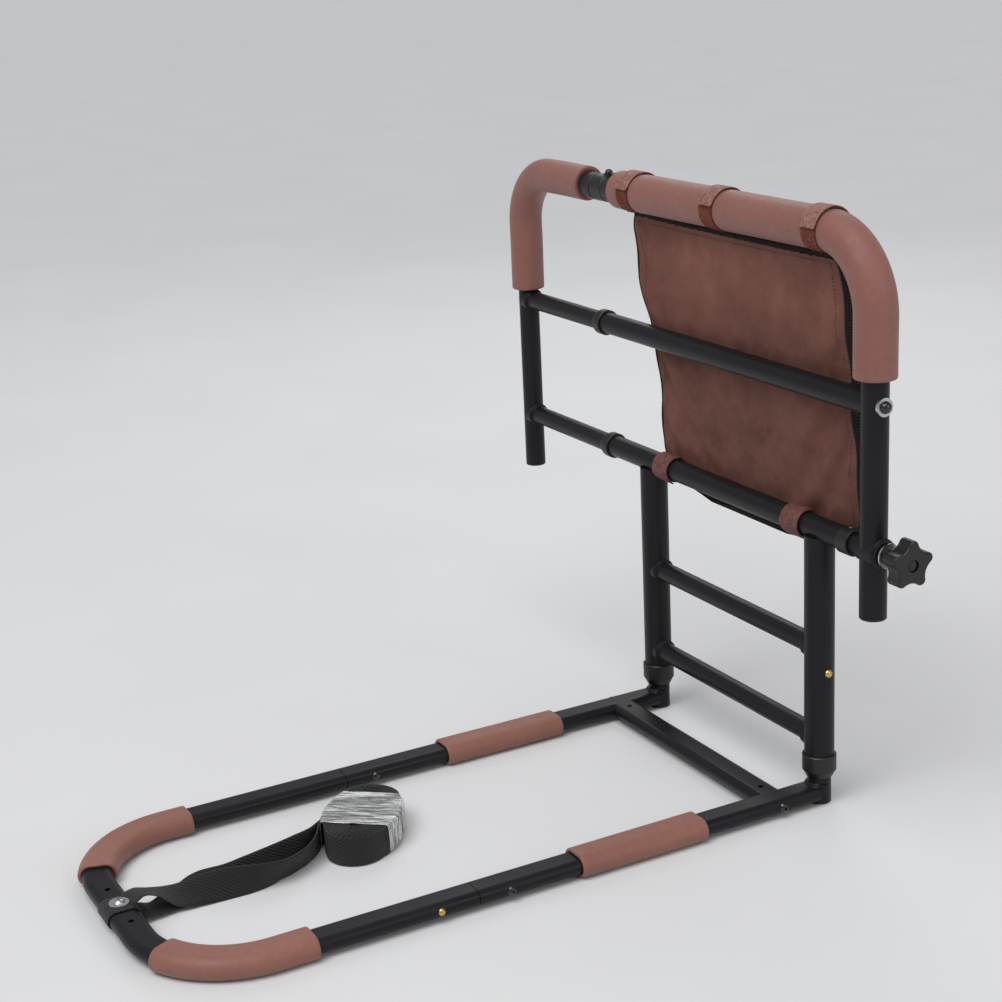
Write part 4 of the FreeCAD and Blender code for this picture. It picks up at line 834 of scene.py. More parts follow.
def bag_shell():
    """Open-topped shell in millimetres, ring by ring down: bar side, near gusset, bed side, far gusset."""
    heights, lefts, rights = (list(column) for column in zip(*reversed(BAG_OUTLINE)))
    points = []
    for r in range(BAG_ROWS):
        share = r / (BAG_ROWS - 1)
        z = BAG_TOP + (BAG_HEM - BAG_TOP) * share
        left, right = np.interp(z, heights, lefts), np.interp(z, heights, rights)
        belly = 0.8 + 0.2 * math.sin(math.pi * min(1.0, share * 1.3))
        closing = 1 - 0.9 * max(0.0, (share - 0.84) / 0.16) ** 1.5
        depth = BAG_DEPTH * belly * closing
        across = np.linspace(left, right, PANEL_COLUMNS)
        steps = np.arange(1, SIDE_COLUMNS + 1) / (SIDE_COLUMNS + 1)
        points += [(x, BAG_BAR_Y, z) for x in across]
        points += [(right + 1.2 * math.sin(math.pi * s), BAG_BAR_Y + depth * s, z) for s in steps]
        points += [(x, BAG_BAR_Y + depth, z) for x in reversed(across)]
        points += [(left - 1.2 * math.sin(math.pi * s), BAG_BAR_Y + depth * (1 - s), z) for s in steps]
    return np.array(points)


def soft_folds(points):
    """The slow folds that the hanging cloth starts from, as moves in millimetres."""
    x, z = points[:, 0], points[:, 2]
    down = np.clip((BAG_TOP - z) / 300.0, 0, 1)
    lean = x + 62.0 * down
    fold = (
        2.4 * np.sin(lean / 25.0) * np.sin(np.pi * np.clip(down * 1.1, 0, 1))
        + 1.7 * np.sin(x / 43.0 + 1.1 + 1.6 * down)
        + 1.1 * np.sin(x / 14.0 + 4.0 * down) * np.exp(-((down - 0.4) / 0.25) ** 2)
    )
    free = np.clip(down * 7, 0.1, 1) * np.clip((1 - down) * 9, 0.2, 1)
    moves = np.zeros_like(points)
    moves[:, 1] = (1.2 + fold) * free
    edge = np.clip((np.abs(x) - 120.0) / 40.0, 0, 1)
    moves[:, 0] = (1.9 * np.sin(z / 12.0) + 1.3 * np.sin(z / 27.0 + 1.0)) * edge
    return moves


# Creases left by handling: ends of each in millimetres (across, height), half width, height towards the bars
CREASES = (
    (-150.0, 560.0, -60.0, 505.0, 15.0, 2.8),
    (-60.0, 505.0, -78.0, 452.0, 12.0, 2.6),
    (-40.0, 576.0, -56.0, 520.0, 8.0, 1.8),
    (20.0, 562.0, 8.0, 470.0, 12.0, 2.2),
    (95.0, 556.0, 112.0, 478.0, 14.0, -2.0),
    (150.0, 545.0, 165.0, 440.0, 10.0, 2.0),
    (-20.0, 432.0, 12.0, 386.0, 10.0, 2.6),
    (12.0, 386.0, -26.0, 312.0, 11.0, 2.8),
    (-122.0, 424.0, -132.0, 330.0, 12.0, 2.0),
    (72.0, 412.0, 102.0, 322.0, 16.0, -2.4),
    (132.0, 404.0, 152.0, 312.0, 12.0, 2.2),
    (-104.0, 336.0, -20.0, 314.0, 8.0, 1.5),
)


def crease(points):
    """Adds the handling creases to the hung cloth, in millimetres."""
    for x0, z0, x1, z1, half, height in CREASES:
        ahead = np.array([x1 - x0, z1 - z0])
        span = np.hypot(*ahead)
        rel = np.column_stack([points[:, 0] - x0, points[:, 2] - z0])
        along = rel @ ahead / span
        off = (rel[:, 0] * ahead[1] - rel[:, 1] * ahead[0]) / span + 3.0 * np.sin(along / 17.0)
        ends = 1 / (1 + np.exp(-(along + 2) / 7)) / (1 + np.exp((along - span - 2) / 7))
        points[:, 1] -= height * ends * np.exp(-np.abs(off / half) ** 1.6)
    return points


def held_share(points):
    """How firmly each point of the shell is held: straps at the top, stiff corners, hem."""
    held = np.zeros(len(points))
    column = np.arange(len(points)) % BAG_RING
    row = np.arange(len(points)) // BAG_RING
    corners = (0, PANEL_COLUMNS - 1, PANEL_COLUMNS + SIDE_COLUMNS, 2 * PANEL_COLUMNS + SIDE_COLUMNS - 1)
    held[np.isin(column, corners)] = 1.0
    held[row >= BAG_ROWS - 2] = 1.0
    held[row == 0] = 0.9
    return held


HANG_FRAMES = 22


def hang(points, faces, held, slack):
    """Places in metres where cloth cut over its size by the slack comes to rest under its own weight."""
    trial = new_piece("cloth_trial", points, faces)
    group = trial.vertex_groups.new(name="held")
    for n in np.flatnonzero(held):
        group.add([int(n)], float(held[n]), "REPLACE")
    cloth = trial.modifiers.new("hang", "CLOTH")
    cloth.point_cache.frame_start = 1
    cloth.point_cache.frame_end = HANG_FRAMES
    rest = cloth.settings
    rest.quality = 6
    rest.mass = 0.2
    rest.tension_stiffness = 14.0
    rest.compression_stiffness = 14.0
    rest.shear_stiffness = 7.0
    rest.bending_stiffness = 1.2
    rest.air_damping = 2.0
    rest.shrink_min = -slack
    rest.vertex_group_mass = "held"
    cloth.collision_settings.use_collision = False
    scene = bpy.context.scene
    for step in range(1, HANG_FRAMES + 1):
        scene.frame_set(step)
    settled = trial.evaluated_get(bpy.context.evaluated_depsgraph_get()).data
    flat = np.zeros(len(points) * 3, np.float32)
    settled.vertices.foreach_get("co", flat)
    scene.frame_set(1)
    mesh = trial.data
    bpy.data.objects.remove(trial)
    bpy.data.meshes.remove(mesh)
    return flat.reshape(-1, 3).astype(float)


# How far behind the handrail's plane the bag stays, in millimetres: free, behind a bar, and at most, then how
# far above and below each bar it is held back, and how steeply it may come forward beyond
BAG_FREE_Y, BAG_BAR_GAP_Y, BAG_FAR_Y = 9.0, 15.2, 42.0
MIDDLE_BAR_REACH, SLEEVE_REACH, BAG_EASE = 14.0, 16.0, 0.25


def clear_of_bars(points):
    """Presses the bar side back off the two bars that it hangs behind, in millimetres."""
    column = np.arange(len(points)) % BAG_RING
    y, z = points[:, 1], points[:, 2]
    bars = ((middle("middle_bar").z * 1000, MIDDLE_BAR_REACH), (PIVOT_Z * 1000, SLEEVE_REACH))
    least = np.full(len(points), BAG_FREE_Y)
    for height, half in bars:
        least = np.maximum(least, BAG_BAR_GAP_Y - BAG_EASE * np.maximum(0.0, np.abs(z - height) - half))
    points[:, 1] = np.where(column < PANEL_COLUMNS, np.maximum(y, least), np.minimum(y, BAG_FAR_Y))
    return points


def edge_tube(name, line, radius, look, slot, closed=False):
    """A thin sewn edge that follows a line of places."""
    count = 8
    points, uv = [], []
    runs = line_lengths(line)
    last = len(line) - 1
    for n, place in enumerate(line):
        before, after = (n - 1, (n + 1) % len(line)) if closed else (max(n - 1, 0), min(n + 1, last))
        way = (line[after] - line[before]).normalized()
        side = way.cross(Vector((0, 0.3, 1)) if abs(way.x) > 0.6 else Vector((1, 0.3, 0))).normalized()
        high = way.cross(side)
        for k in range(count):
            a = 2 * math.pi * k / count
            points.append(place + (side * math.cos(a) + high * math.sin(a)) * radius)
            uv.append((k / count * radius * 6.28, runs[n]))
    if closed:
        faces = grid_faces(len(line), count, close_rows=True, close_cols=True)
    else:
        faces = rod_faces(len(line), count)
    return finish_piece(outward(new_piece(name, points, faces, uv=uv)), None, look, slot)


def cross_joint(piece):
    """Bakes the placement of cloth that hangs from the handrail and is tied to the ladder below into its mesh."""
    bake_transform(piece)
    return piece


CLOTH_MOVES_MOST = 8.0
BINDING_THICK, BINDING_OFF, SEAM_R = 0.0012, 0.0013, 0.001
EDGE_RADII = {"bag_mouth_roll": 0.0017, "bag_near_corner_seam": 0.0017, "bag_far_corner_seam": 0.0014,
              "bag_bottom_hem": 0.0019}


class BEDRAIL_OT_storage_bag(bpy.types.Operator):
    """Cut the bag over its size, let its cloth hang, and sew its panels, gussets, bindings and stitches"""
    bl_idname = "bed_rail.storage_bag"
    bl_label = "Storage bag"

    def execute(self, context):
        sizes = context.scene.bed_rail_sizes
        flat = bag_shell()
        start = flat + soft_folds(flat)
        origin = np.array(spot(0, 0, 0))
        rest = start
        faces = grid_faces(BAG_ROWS, BAG_RING, close_cols=True)
        hung = hang(start / 1000 + origin, faces, held_share(start), sizes.cloth_slack)
        moved = (hung - origin) * 1000 - start
        far = np.linalg.norm(moved, axis=1)
        rest = start + moved * (np.minimum(far, CLOTH_MOVES_MOST) / np.maximum(far, 1e-6))[:, None]
        rest = clear_of_bars(crease(rest))
        grid = [[spot(*rest[r * BAG_RING + c]) for c in range(BAG_RING)] for r in range(BAG_ROWS)]
        panels = self.sew_panels(grid, flat, sizes)
        self.bind_edges(grid)
        self.stitch(grid, sizes)
        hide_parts("storage_bag")
        return {"FINISHED"}

    def sew_panels(self, grid, flat, sizes):
        near, bed = PANEL_COLUMNS - 1, PANEL_COLUMNS + SIDE_COLUMNS
        spans = (
            ("bag_back_panel", range(PANEL_COLUMNS), "bag"),
            ("bag_near_gusset", range(near, bed + 1), "gusset"),
            ("bag_front_panel", range(bed, bed + PANEL_COLUMNS), "bag"),
            ("bag_far_gusset", list(range(bed + PANEL_COLUMNS - 1, BAG_RING)) + [0], "gusset"),
        )
        made = []
        for name, columns, look in spans:
            points = [grid[r][c] for r in range(BAG_ROWS) for c in columns]
            if look == "gusset":
                uv = [(n * 0.004, flat[r * BAG_RING][2] / 1000)
                      for r in range(BAG_ROWS) for n in range(len(columns))]
            else:
                uv = [(flat[r * BAG_RING + c][0] / 1000, flat[r * BAG_RING][2] / 1000)
                      for r in range(BAG_ROWS) for c in columns]
            piece = new_piece(name, points, grid_faces(BAG_ROWS, len(columns)), uv=uv)
            rounder = piece.modifiers.new("rounder", "SUBSURF")
            rounder.levels = rounder.render_levels = 1
            thickened(piece, sizes.cloth_thickness)
            made.append(cross_joint(finish_piece(piece, None, look_for(look), "bag_fabric")))
        return made

    def bind_edges(self, grid):
        near, bed = PANEL_COLUMNS - 1, PANEL_COLUMNS + SIDE_COLUMNS
        look = look_for("binding")
        edges = {
            "bag_mouth_roll": [grid[0][c] for c in range(BAG_RING)],
            "bag_near_corner_seam": [grid[r][near] for r in range(BAG_ROWS)],
            "bag_bed_corner_seam": [grid[r][bed] for r in range(BAG_ROWS)],
            "bag_far_corner_seam": [grid[r][0] for r in range(BAG_ROWS)],
            "bag_far_bed_seam": [grid[r][bed + PANEL_COLUMNS - 1] for r in range(BAG_ROWS)],
            "bag_bottom_hem": [(grid[-1][c] + grid[-1][2 * PANEL_COLUMNS + SIDE_COLUMNS - 1 - c]) / 2
                               for c in range(PANEL_COLUMNS)],
        }
        for name, line in edges.items():
            radius = EDGE_RADII.get(name, SEAM_R)
            cross_joint(edge_tube(name, line, radius, look, "bag_fabric", name == "bag_mouth_roll"))
        self.bind_mouth(grid, look)
        self.bind_hem(grid, look)

    def bind_mouth(self, grid, look):
        """Folded binding round the bag's open top, deeper towards the near side."""
        points, uv, run = [], [], 0.0
        for c in range(BAG_RING):
            across = grid[0][(c + 1) % BAG_RING] - grid[0][c - 1]
            off = Vector((across.y, -across.x, 0)).normalized() * BINDING_OFF
            share = (grid[0][c].x - MID_X + 0.2) / 0.37
            low = grid[0][c].lerp(grid[1][c], 0.8 + 0.4 * share + 0.1 * math.sin(c * 2.4))
            for k in range(4):
                points.append(grid[0][c].lerp(low, k / 3) + off)
                uv.append((k * 0.004, run))
            run += across.length / 2
        faces = grid_faces(BAG_RING, 4, close_rows=True)
        self.sewn_strip("bag_mouth_binding", points, faces, uv, look)

    def bind_hem(self, grid, look):
        """Folded binding along the closed bottom, on both faces of the bag."""
        for side, start, way in (("bar", 0, -1), ("bed", PANEL_COLUMNS + SIDE_COLUMNS, 1)):
            off = Vector((0, way * BINDING_OFF, 0))
            points, uv = [], []
            for c in range(start, start + PANEL_COLUMNS):
                low, high = grid[-1][c], grid[-3][c].lerp(grid[-4][c], 0.1 * math.sin(c * 1.7))
                for k in range(4):
                    points.append(low.lerp(high, k / 3) + off)
                    uv.append((k * 0.004, c * 0.005))
            self.sewn_strip(f"bag_hem_binding_{side}_side", points, grid_faces(PANEL_COLUMNS, 4), uv, look)

    def sewn_strip(self, name, points, faces, uv, look):
        strip = thickened(new_piece(name, points, faces, uv=uv), BINDING_THICK)
        cross_joint(finish_piece(strip, None, look, "bag_fabric"))

    def stitch(self, grid, sizes):
        """Rows of stitches just inside the panels' edges, and a wide slanting row down the near edge."""
        near = PANEL_COLUMNS - 1
        bed = PANEL_COLUMNS + SIDE_COLUMNS
        width, spacing = sizes.thread_width, sizes.stitch_spacing
        off = Vector((0, -(sizes.cloth_thickness + width) / 2, 0))
        lower = range(2, BAG_ROWS - 2)
        bar_rows = [
            [grid[r][2] + off for r in lower],
            [grid[r][near - 2] + off for r in lower],
            [grid[2][c] + off for c in range(2, near - 1)],
            [grid[-4][c] + off for c in range(2, near - 1)],
        ]
        bed_rows = [
            [grid[r][bed + 2] - off for r in lower],
            [grid[r][bed + near - 2] - off for r in lower],
            [grid[2][c] - off for c in range(bed + 2, bed + near - 1)],
            [grid[-4][c] - off for c in range(bed + 2, bed + near - 1)],
        ]
        thread = look_for("brown_thread")
        straight_size = (width, width, spacing * 0.72)
        for name, rows in (("bag_stitches_bar_side", bar_rows), ("bag_stitches_bed_side", bed_rows)):
            piece = bead_rows(name, rows, thread, spacing, straight_size, uneven=0.08, seed=7)
            cross_joint(finish_piece(piece, None, thread, "bag_fabric"))
        thread = look_for("dark_thread")
        edge = [grid[r][near] + off + Vector((-0.0016, 0, 0)) for r in range(1, 34)]
        piece = bead_rows("bag_gusset_overlock", [edge], thread, spacing * 0.55,
                          (width * 1.7, width * 1.7, spacing * 1.35), slant=1.15, uneven=0.16, seed=9)
        cross_joint(finish_piece(piece, None, thread, "bag_fabric"))


# Straps of the bag

def strip_outline(width, thick, rounding=1.0, steps=6):
    """Outline of a flat strip with rounded selvedges: across and out, round from its upper face."""
    half, edge = width / 2, thick / 2
    flat = half - edge * rounding
    outline = [(s * flat, edge) for s in np.linspace(-1, 1, steps + 1)]
    outline.append((half, 0.0))
    outline += [(s * flat, -edge) for s in np.linspace(1, -1, steps + 1)]
    outline.append((-half, 0.0))
    return outline


def band(name, line, width_way, width, thick):
    """A flat strip along a line of (place, outward way)."""
    points, uv, along = [], [], 0.0
    last = None
    outline = strip_outline(width, thick)
    for place, out in line:
        if last is not None:
            along += (place - last).length
        last = place
        for u, v in outline:
            points.append(place + width_way * u + out * v)
            uv.append((u, along))
    return outward(new_piece(name, points, rod_faces(len(line), len(outline)), uv=uv))


def ring_line(centre, radius, start, end, count=60, lift=None):
    """Line round the X axis: degrees count from the +Y side upwards."""
    made = []
    for n in range(count + 1):
        share = n / count
        a = math.radians(start + (end - start) * share)
        out = Vector((0, math.cos(a), math.sin(a)))
        r = radius + (lift(share) if lift else 0.0)
        made.append((centre + out * r, out))
    return made


# Degrees round the top bar, from the +Y side upwards, at which each strap's tape is cut off
TAPE_CUTS = (166.0, 165.0, 171.0)
# The straps round the top bar and round the sleeve: where, inner radius, widths of tape and pile, degrees
# that each runs round (None: TAPE_CUTS), lift of the tape's free end in metres, and the tape's finish
STRAPS = (
    ("top", TOP_STRAP_XS, TOP_Z, 0.0216, 0.0253, 0.0234, (-110.0, 238.0), (-40.0, None), 0.0016, "tape"),
    ("lower", LOW_STRAP_XS, PIVOT_Z, 0.0129, 0.030, 0.0285, (-300.0, 60.0), (60.0, 250.0), 0.0010, "darker_lower_tape"),
)
FREE_END_SHARE = 0.07


class BEDRAIL_OT_bag_straps(bpy.types.Operator):
    """Wrap the three straps over the top foam and the two round the ladder's sleeve"""
    bl_idname = "bed_rail.bag_straps"
    bl_label = "Bag straps"

    def execute(self, context):
        along_x = Vector((1, 0, 0))
        thick = context.scene.bed_rail_sizes.strap_thickness
        for place, xs, height, radius, tape_width, pile_width, pile_turn, tape_turn, lift, look in STRAPS:
            for n, x in enumerate(xs):
                centre = spot(x, 0, height * 1000)
                inner = radius + thick / 2
                line = ring_line(centre, inner, *pile_turn, 84)
                pile = band(f"{place}_strap_pile_{n + 1}", line, along_x, pile_width, thick)
                stood_for = [place + "_straps"] if n == 0 else []
                finish_piece(pile, "handrail", look_for("pile"), "strap_fabric", *stood_for)
                start, end = tape_turn[0], tape_turn[1] or TAPE_CUTS[n]
                line = ring_line(centre, inner + thick * 1.04, start, end, 70,
                                 lambda share: lift * max(0.0, 1 - (1 - share) / FREE_END_SHARE) ** 2)
                tape = band(f"{place}_strap_tape_{n + 1}", line, along_x, tape_width, thick)
                finish_piece(tape, "handrail", look_for(look), "strap_fabric")
        return {"FINISHED"}


# Welds

class BEDRAIL_OT_weld_ripples(bpy.types.Operator):
    """Lay the ripples of a hand-run weld on every bead: rungs, stubs, pivot tube and thin bars"""
    bl_idname = "bed_rail.weld_ripples"
    bl_label = "Weld ripples"

    def execute(self, context):
        spacing = context.scene.bed_rail_sizes.weld_ripple
        ladder, stub, arm_top = LADDER_HALF * 1000, 12.7, ARM_Z * 1000 + 8
        near, far = (NEAR_POST_X - MID_X) * 1000, (FAR_POST_X - MID_X) * 1000
        across, upward = Vector((1, 0, 0)), Vector((0, 0, 1))
        bar_z, pivot_z = middle("middle_bar").z * 1000, PIVOT_Z * 1000
        rungs = [middle(name).z * 1000 for name in ("rung_lower", "rung_upper")]
        groups = (
            ("weld_ripples_pivot_outer", "handrail", 4.5, [(near + 16, pivot_z, across, 11.0, 0, 360)]),
            ("weld_ripples_pivot_inner", "handrail", 3.0, [(near - 16, pivot_z, -across, 11.0, 0, 360)]),
            ("weld_ripples_far_post", "far_half", 3.0, [(far + 12.5, z, across, 11.0, 0, 360) for z in (pivot_z, bar_z)]),
            ("weld_ripples_ladder", "base", 3.0,
             [(-side * (ladder - 16), z, across * side, 11.0, 0, 360) for side in (1, -1) for z in rungs]
             + [(side * ladder, arm_top, upward, stub, 180, 360) for side in (1, -1)]),
        )
        look = look_for("steel")
        for seed, (name, body, leg, rings) in enumerate(groups):
            lines = []
            for x, z, way, radius, start, end in rings:
                one, two = (Vector((0, 1, 0)), upward) if way.z == 0 else (across, Vector((0, 1, 0)))
                centre = spot(x, 0, z) + way * leg * 0.00032
                turns = [math.radians(start + (end - start) * n / 72) for n in range(73)]
                lines.append([centre + (one * math.cos(a) + two * math.sin(a)) * (radius + leg * 0.32) / 1000 for a in turns])
            size = (leg * 0.00095, leg * 0.00095, spacing * 1.5)
            piece = bead_rows(name, lines, look, spacing, size, uneven=0.12, seed=seed + 20)
            finish_piece(piece, body, look, "black_steel")
        return {"FINISHED"}


# Webbing

# The free webbing's two strands: place in millimetres, height of the near edge, and turn from flat to on edge.
# The front one comes off the top of the bar and carries on into the roll; the back one comes from under the bar
# and slips in behind it.
FRONT_STRAND = (
    (-0.6, -719.0, 21.6, -1.0),
    (-1.6, -709.0, 32.0, -10.0),
    (-4.0, -693.5, 25.0, -7.2),
    (-5.1, -680.0, 13.7, 5.2),
    (-2.8, -664.0, 3.1, 24.8),
    (0.3, -641.0, 1.0, 43.8),
    (8.0, -614.0, 0.2, 73.6),
    (15.0, -588.0, 0.2, 97.0),
    (11.5, -560.0, 0.3, 117.0),
    (-0.5, -532.0, 0.3, 114.0),
    (-14.8, -514.5, 0.4, 104.0),
    (-31.0, -502.8, 0.4, 93.0),
    (-58.9, -482.3, 0.0, 90.0),
)
BACK_STRAND = (
    (0.0, -715.0, 3.9, 0.0),
    (-0.5, -703.0, 8.0, 3.0),
    (-2.9, -690.0, 3.6, -2.0),
    (-5.5, -674.0, 3.0, 12.6),
    (-7.0, -657.0, 0.7, 25.5),
    (-10.5, -640.0, 0.4, 45.3),
    (-1.0, -614.0, 0.2, 58.5),
    (-5.5, -588.0, 0.6, 76.9),
    (-13.2, -560.0, 0.2, 82.2),
    (-18.0, -533.0, 1.8, 84.0),
    (-26.5, -513.0, 1.8, 95.0),
    (-42.3, -493.5, 0.0, 90.0),
)
COIL_CENTRE = (-33.3, -450.6)
COIL_TILT = 141.0
COIL_HALF_LENGTH = 65.5
COIL_HALF_WIDTH = 41.4
COIL_END_SWEEP = 120.0
COIL_TURNS = 16
COIL_PITCH = 1.8
FILM_WIDTH = 74.0
FILM_ALONG = 4.0


def spline_points(places):
    """Points along the smooth open spline that the given places control."""
    data = bpy.data.curves.new("route", "CURVE")
    data.dimensions = "3D"
    data.resolution_u = 10
    spline = data.splines.new("NURBS")
    spline.points.add(len(places) - 1)
    for point, place in zip(spline.points, places):
        point.co = (*place, 1)
    spline.order_u = 3
    spline.use_endpoint_u = True
    holder = bpy.data.objects.new("route", data)
    bpy.context.scene.collection.objects.link(holder)
    graph = bpy.context.evaluated_depsgraph_get()
    mesh = bpy.data.meshes.new_from_object(holder.evaluated_get(graph))
    points = [v.co.copy() for v in mesh.vertices]
    bpy.data.objects.remove(holder)
    bpy.data.curves.remove(data)
    bpy.data.meshes.remove(mesh)
    return points


def oval_radii(half_length, half_width):
    """Radii of an oval's end and side arcs."""
    lean = math.radians(COIL_END_SWEEP / 2)
    more = (half_length - half_width) / (math.cos(lean) + math.sin(lean) - 1)
    end_r = half_length - more * math.cos(lean)
    return end_r, end_r + more


def on_floor(along, aside):
    """Millimetres from the ladder's middle, from millimetres along and across the roll."""
    tilt = math.radians(COIL_TILT)
    c, s = math.cos(tilt), math.sin(tilt)
    return COIL_CENTRE[0] + along * c - aside * s, COIL_CENTRE[1] + along * s + aside * c


def coil_line(seed):
    """Middle line of the wound webbing, from its outer end inwards: side and end arcs that tighten in turn."""
    rng = np.random.default_rng(seed)
    end_r, side_r = oval_radii(COIL_HALF_LENGTH - 0.65, COIL_HALF_WIDTH - 0.65)
    place = np.array([0.0, COIL_HALF_WIDTH - 0.65])
    angle, phase, made = 90.0, rng.uniform(0, 6.28, 3), []
    for quarter in range(4 * COIL_TURNS):
        on_side = quarter % 2 == 0
        sweep = (180 - COIL_END_SWEEP if on_side else COIL_END_SWEEP) * (0.5 if quarter == 0 else 1.0)
        radius = (side_r if on_side else end_r) - quarter * COIL_PITCH / 4
        outward_way = np.array([math.cos(math.radians(angle)), math.sin(math.radians(angle))])
        centre = place - outward_way * radius
        steps = max(4, int(sweep / 9))
        for n in range(steps):
            a = math.radians(angle - sweep * n / steps)
            way = np.array([math.cos(a), math.sin(a)])
            loose = 0.09 * sum(math.sin((k + 2) * a + phase[k] + 0.35 * quarter) for k in range(3))
            turn = (quarter + n / steps) / 4
            rise = 0.75 + 0.5 * math.sin(3.3 * turn + phase[0]) + 0.2 * math.sin(2.1 * a + phase[1])
            made.append((*on_floor(*(centre + way * (radius + loose * min(1.0, quarter / 3)))), rise * min(1.0, quarter / 4)))
        angle -= sweep
        a = math.radians(angle)
        place = centre + np.array([math.cos(a), math.sin(a)]) * radius
    return made


def ribbon(name, centres, turns, width, thick):
    """A flat strip whose wide way turns from level to upright."""
    outline = strip_outline(width, thick, 0.6)
    runs = line_lengths(centres)
    points, uv = [], []
    for n, place in enumerate(centres):
        ahead = centres[min(n + 1, len(centres) - 1)] - centres[max(n - 1, 0)]
        ahead.z = 0
        ahead.normalize()
        side = Vector((-ahead.y, ahead.x, 0))
        turn = math.radians(turns[n])
        wide = side * math.cos(turn) + Vector((0, 0, 1)) * math.sin(turn)
        out = Vector((0, 0, 1)) * math.cos(turn) - side * math.sin(turn)
        for u, v in outline:
            points.append(place + wide * u + out * v)
            uv.append((u, runs[n]))
    return outward(new_piece(name, points, rod_faces(len(centres), len(outline)), uv=uv))


class BEDRAIL_OT_tie_webbing(bpy.types.Operator):
    """Lay the webbing from its loop on the front bar to the roll, and wind the roll"""
    bl_idname = "bed_rail.tie_webbing"
    bl_label = "Tie webbing"

    def execute(self, context):
        sizes = context.scene.bed_rail_sizes
        width, thick = sizes.webbing_width, sizes.webbing_thickness
        look = look_for("webbing")
        roll_line = [spot(x, y, width * 500 + 0.1 + rise) for x, y, rise in coil_line(5)]
        roll = ribbon("tie_webbing_roll", roll_line, [90.0] * len(roll_line), width, thick)
        finish_piece(roll, "base", look, "webbing", "webbing_coil")
        film = roll_film(sizes)
        for name, route, node, carried in (("tie_webbing_lead", FRONT_STRAND, ["webbing_lead"], [roll, film]),
                                           ("tie_webbing_back_strand", BACK_STRAND, [], [])):
            places, turn_marks = [], []
            for x, y, lift, turn in route:
                a = math.radians(turn)
                places.append(spot(x, y, lift + math.sin(a) * width * 500 + abs(math.cos(a)) * thick * 500))
                turn_marks.append(turn)
            centres = spline_points(places)
            marks, runs = np.array(line_lengths(places)), np.array(line_lengths(centres))
            turns = np.interp(runs / runs[-1], marks / marks[-1], turn_marks)
            strand = finish_piece(ribbon(name, centres, turns, width, thick), "base", look, "webbing", *node)
        loop_over_bar(sizes, look)
        return {"FINISHED"}


def roll_film(sizes):
    """Clear film pulled over the roll, down its long sides, in sharp creases that run the way it was pulled."""
    rng = np.random.default_rng(21)
    end_r, side_r = oval_radii(COIL_HALF_LENGTH, COIL_HALF_WIDTH)
    top, hem, bend = sizes.webbing_width * 1000 + 1.9, 3.0, 3.5
    creases = [(rng.uniform(220, 640) / 1000, rng.uniform(20, 80) / 1000, *rng.uniform(0, 6.28, 2), rng.uniform(0.3, 1.0))
               for _ in range(7)]
    whole = sum(c[4] for c in creases)
    points, uv = [], []
    rows = 104
    for r in range(rows):
        u = FILM_ALONG + (r / (rows - 1) - 0.5) * FILM_WIDTH
        half = math.sqrt(side_r ** 2 - u ** 2) - (side_r - COIL_HALF_WIDTH) + 0.5
        outline = [(-half, z, (-1, 0)) for z in np.linspace(hem, top - bend, 12)]
        for a in np.linspace(180, 90, 6)[1:]:
            c, s = math.cos(math.radians(a)), math.sin(math.radians(a))
            outline.append((-half + bend + bend * c, top - bend + bend * s, (c, s)))
        outline += [(v, top, (0, 1)) for v in np.linspace(-half + bend, half - bend, 40)[1:-1]]
        for a in np.linspace(90, 0, 6)[:-1]:
            c, s = math.cos(math.radians(a)), math.sin(math.radians(a))
            outline.append((half - bend + bend * c, top - bend + bend * s, (c, s)))
        outline += [(half, z, (1, 0)) for z in np.linspace(top - bend, hem, 12)]
        run, last = 0.0, outline[0]
        for v, z, way in outline:
            run += math.hypot(v - last[0], z - last[1])
            last = (v, z)
            ridge = sum(w * (1 - abs(math.sin(f * u + 1.4 * math.sin(g * run + p) + q))) ** 2
                        for f, g, p, q, w in creases) / whole
            out = ridge * sizes.film_crease * 1000 * 2.2
            x, y = on_floor(u, v + way[0] * out)
            points.append(spot(x, y, z + way[1] * out))
            uv.append((u / 1000, run / 1000))
    film = new_piece("roll_clear_film", points, grid_faces(rows, len(outline)), uv=uv)
    solid = film.modifiers.new("thickness", "SOLIDIFY")
    solid.thickness = 0.00012
    solid.offset = 1.0
    return finish_piece(outward(applied(film)), "base", look_for("film"), "clear_film", "coil_film")


def loop_over_bar(sizes, look):
    """The webbing's end, sewn round the front bar."""
    width, thick = sizes.webbing_width, sizes.webbing_thickness
    low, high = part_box("webbing_loop")
    centre = (low + high) / 2
    outline = oval_outline(high.y - low.y - thick, high.z - low.z - thick)
    line = []
    for n in range(81):
        a = 2 * math.pi * n / 80
        u, v = outline(a)
        u2, v2 = outline(a + 0.02)
        tangent = Vector((0, u2 - u, v2 - v)).normalized()
        out = Vector((0, tangent.z, -tangent.y))
        line.append((centre + Vector((0, u, v)), out))
    loop = band("tie_webbing_loop", line, Vector((1, 0, 0)), width, thick)
    finish_piece(loop, "base", look, "webbing", "webbing_loop")


# Stage

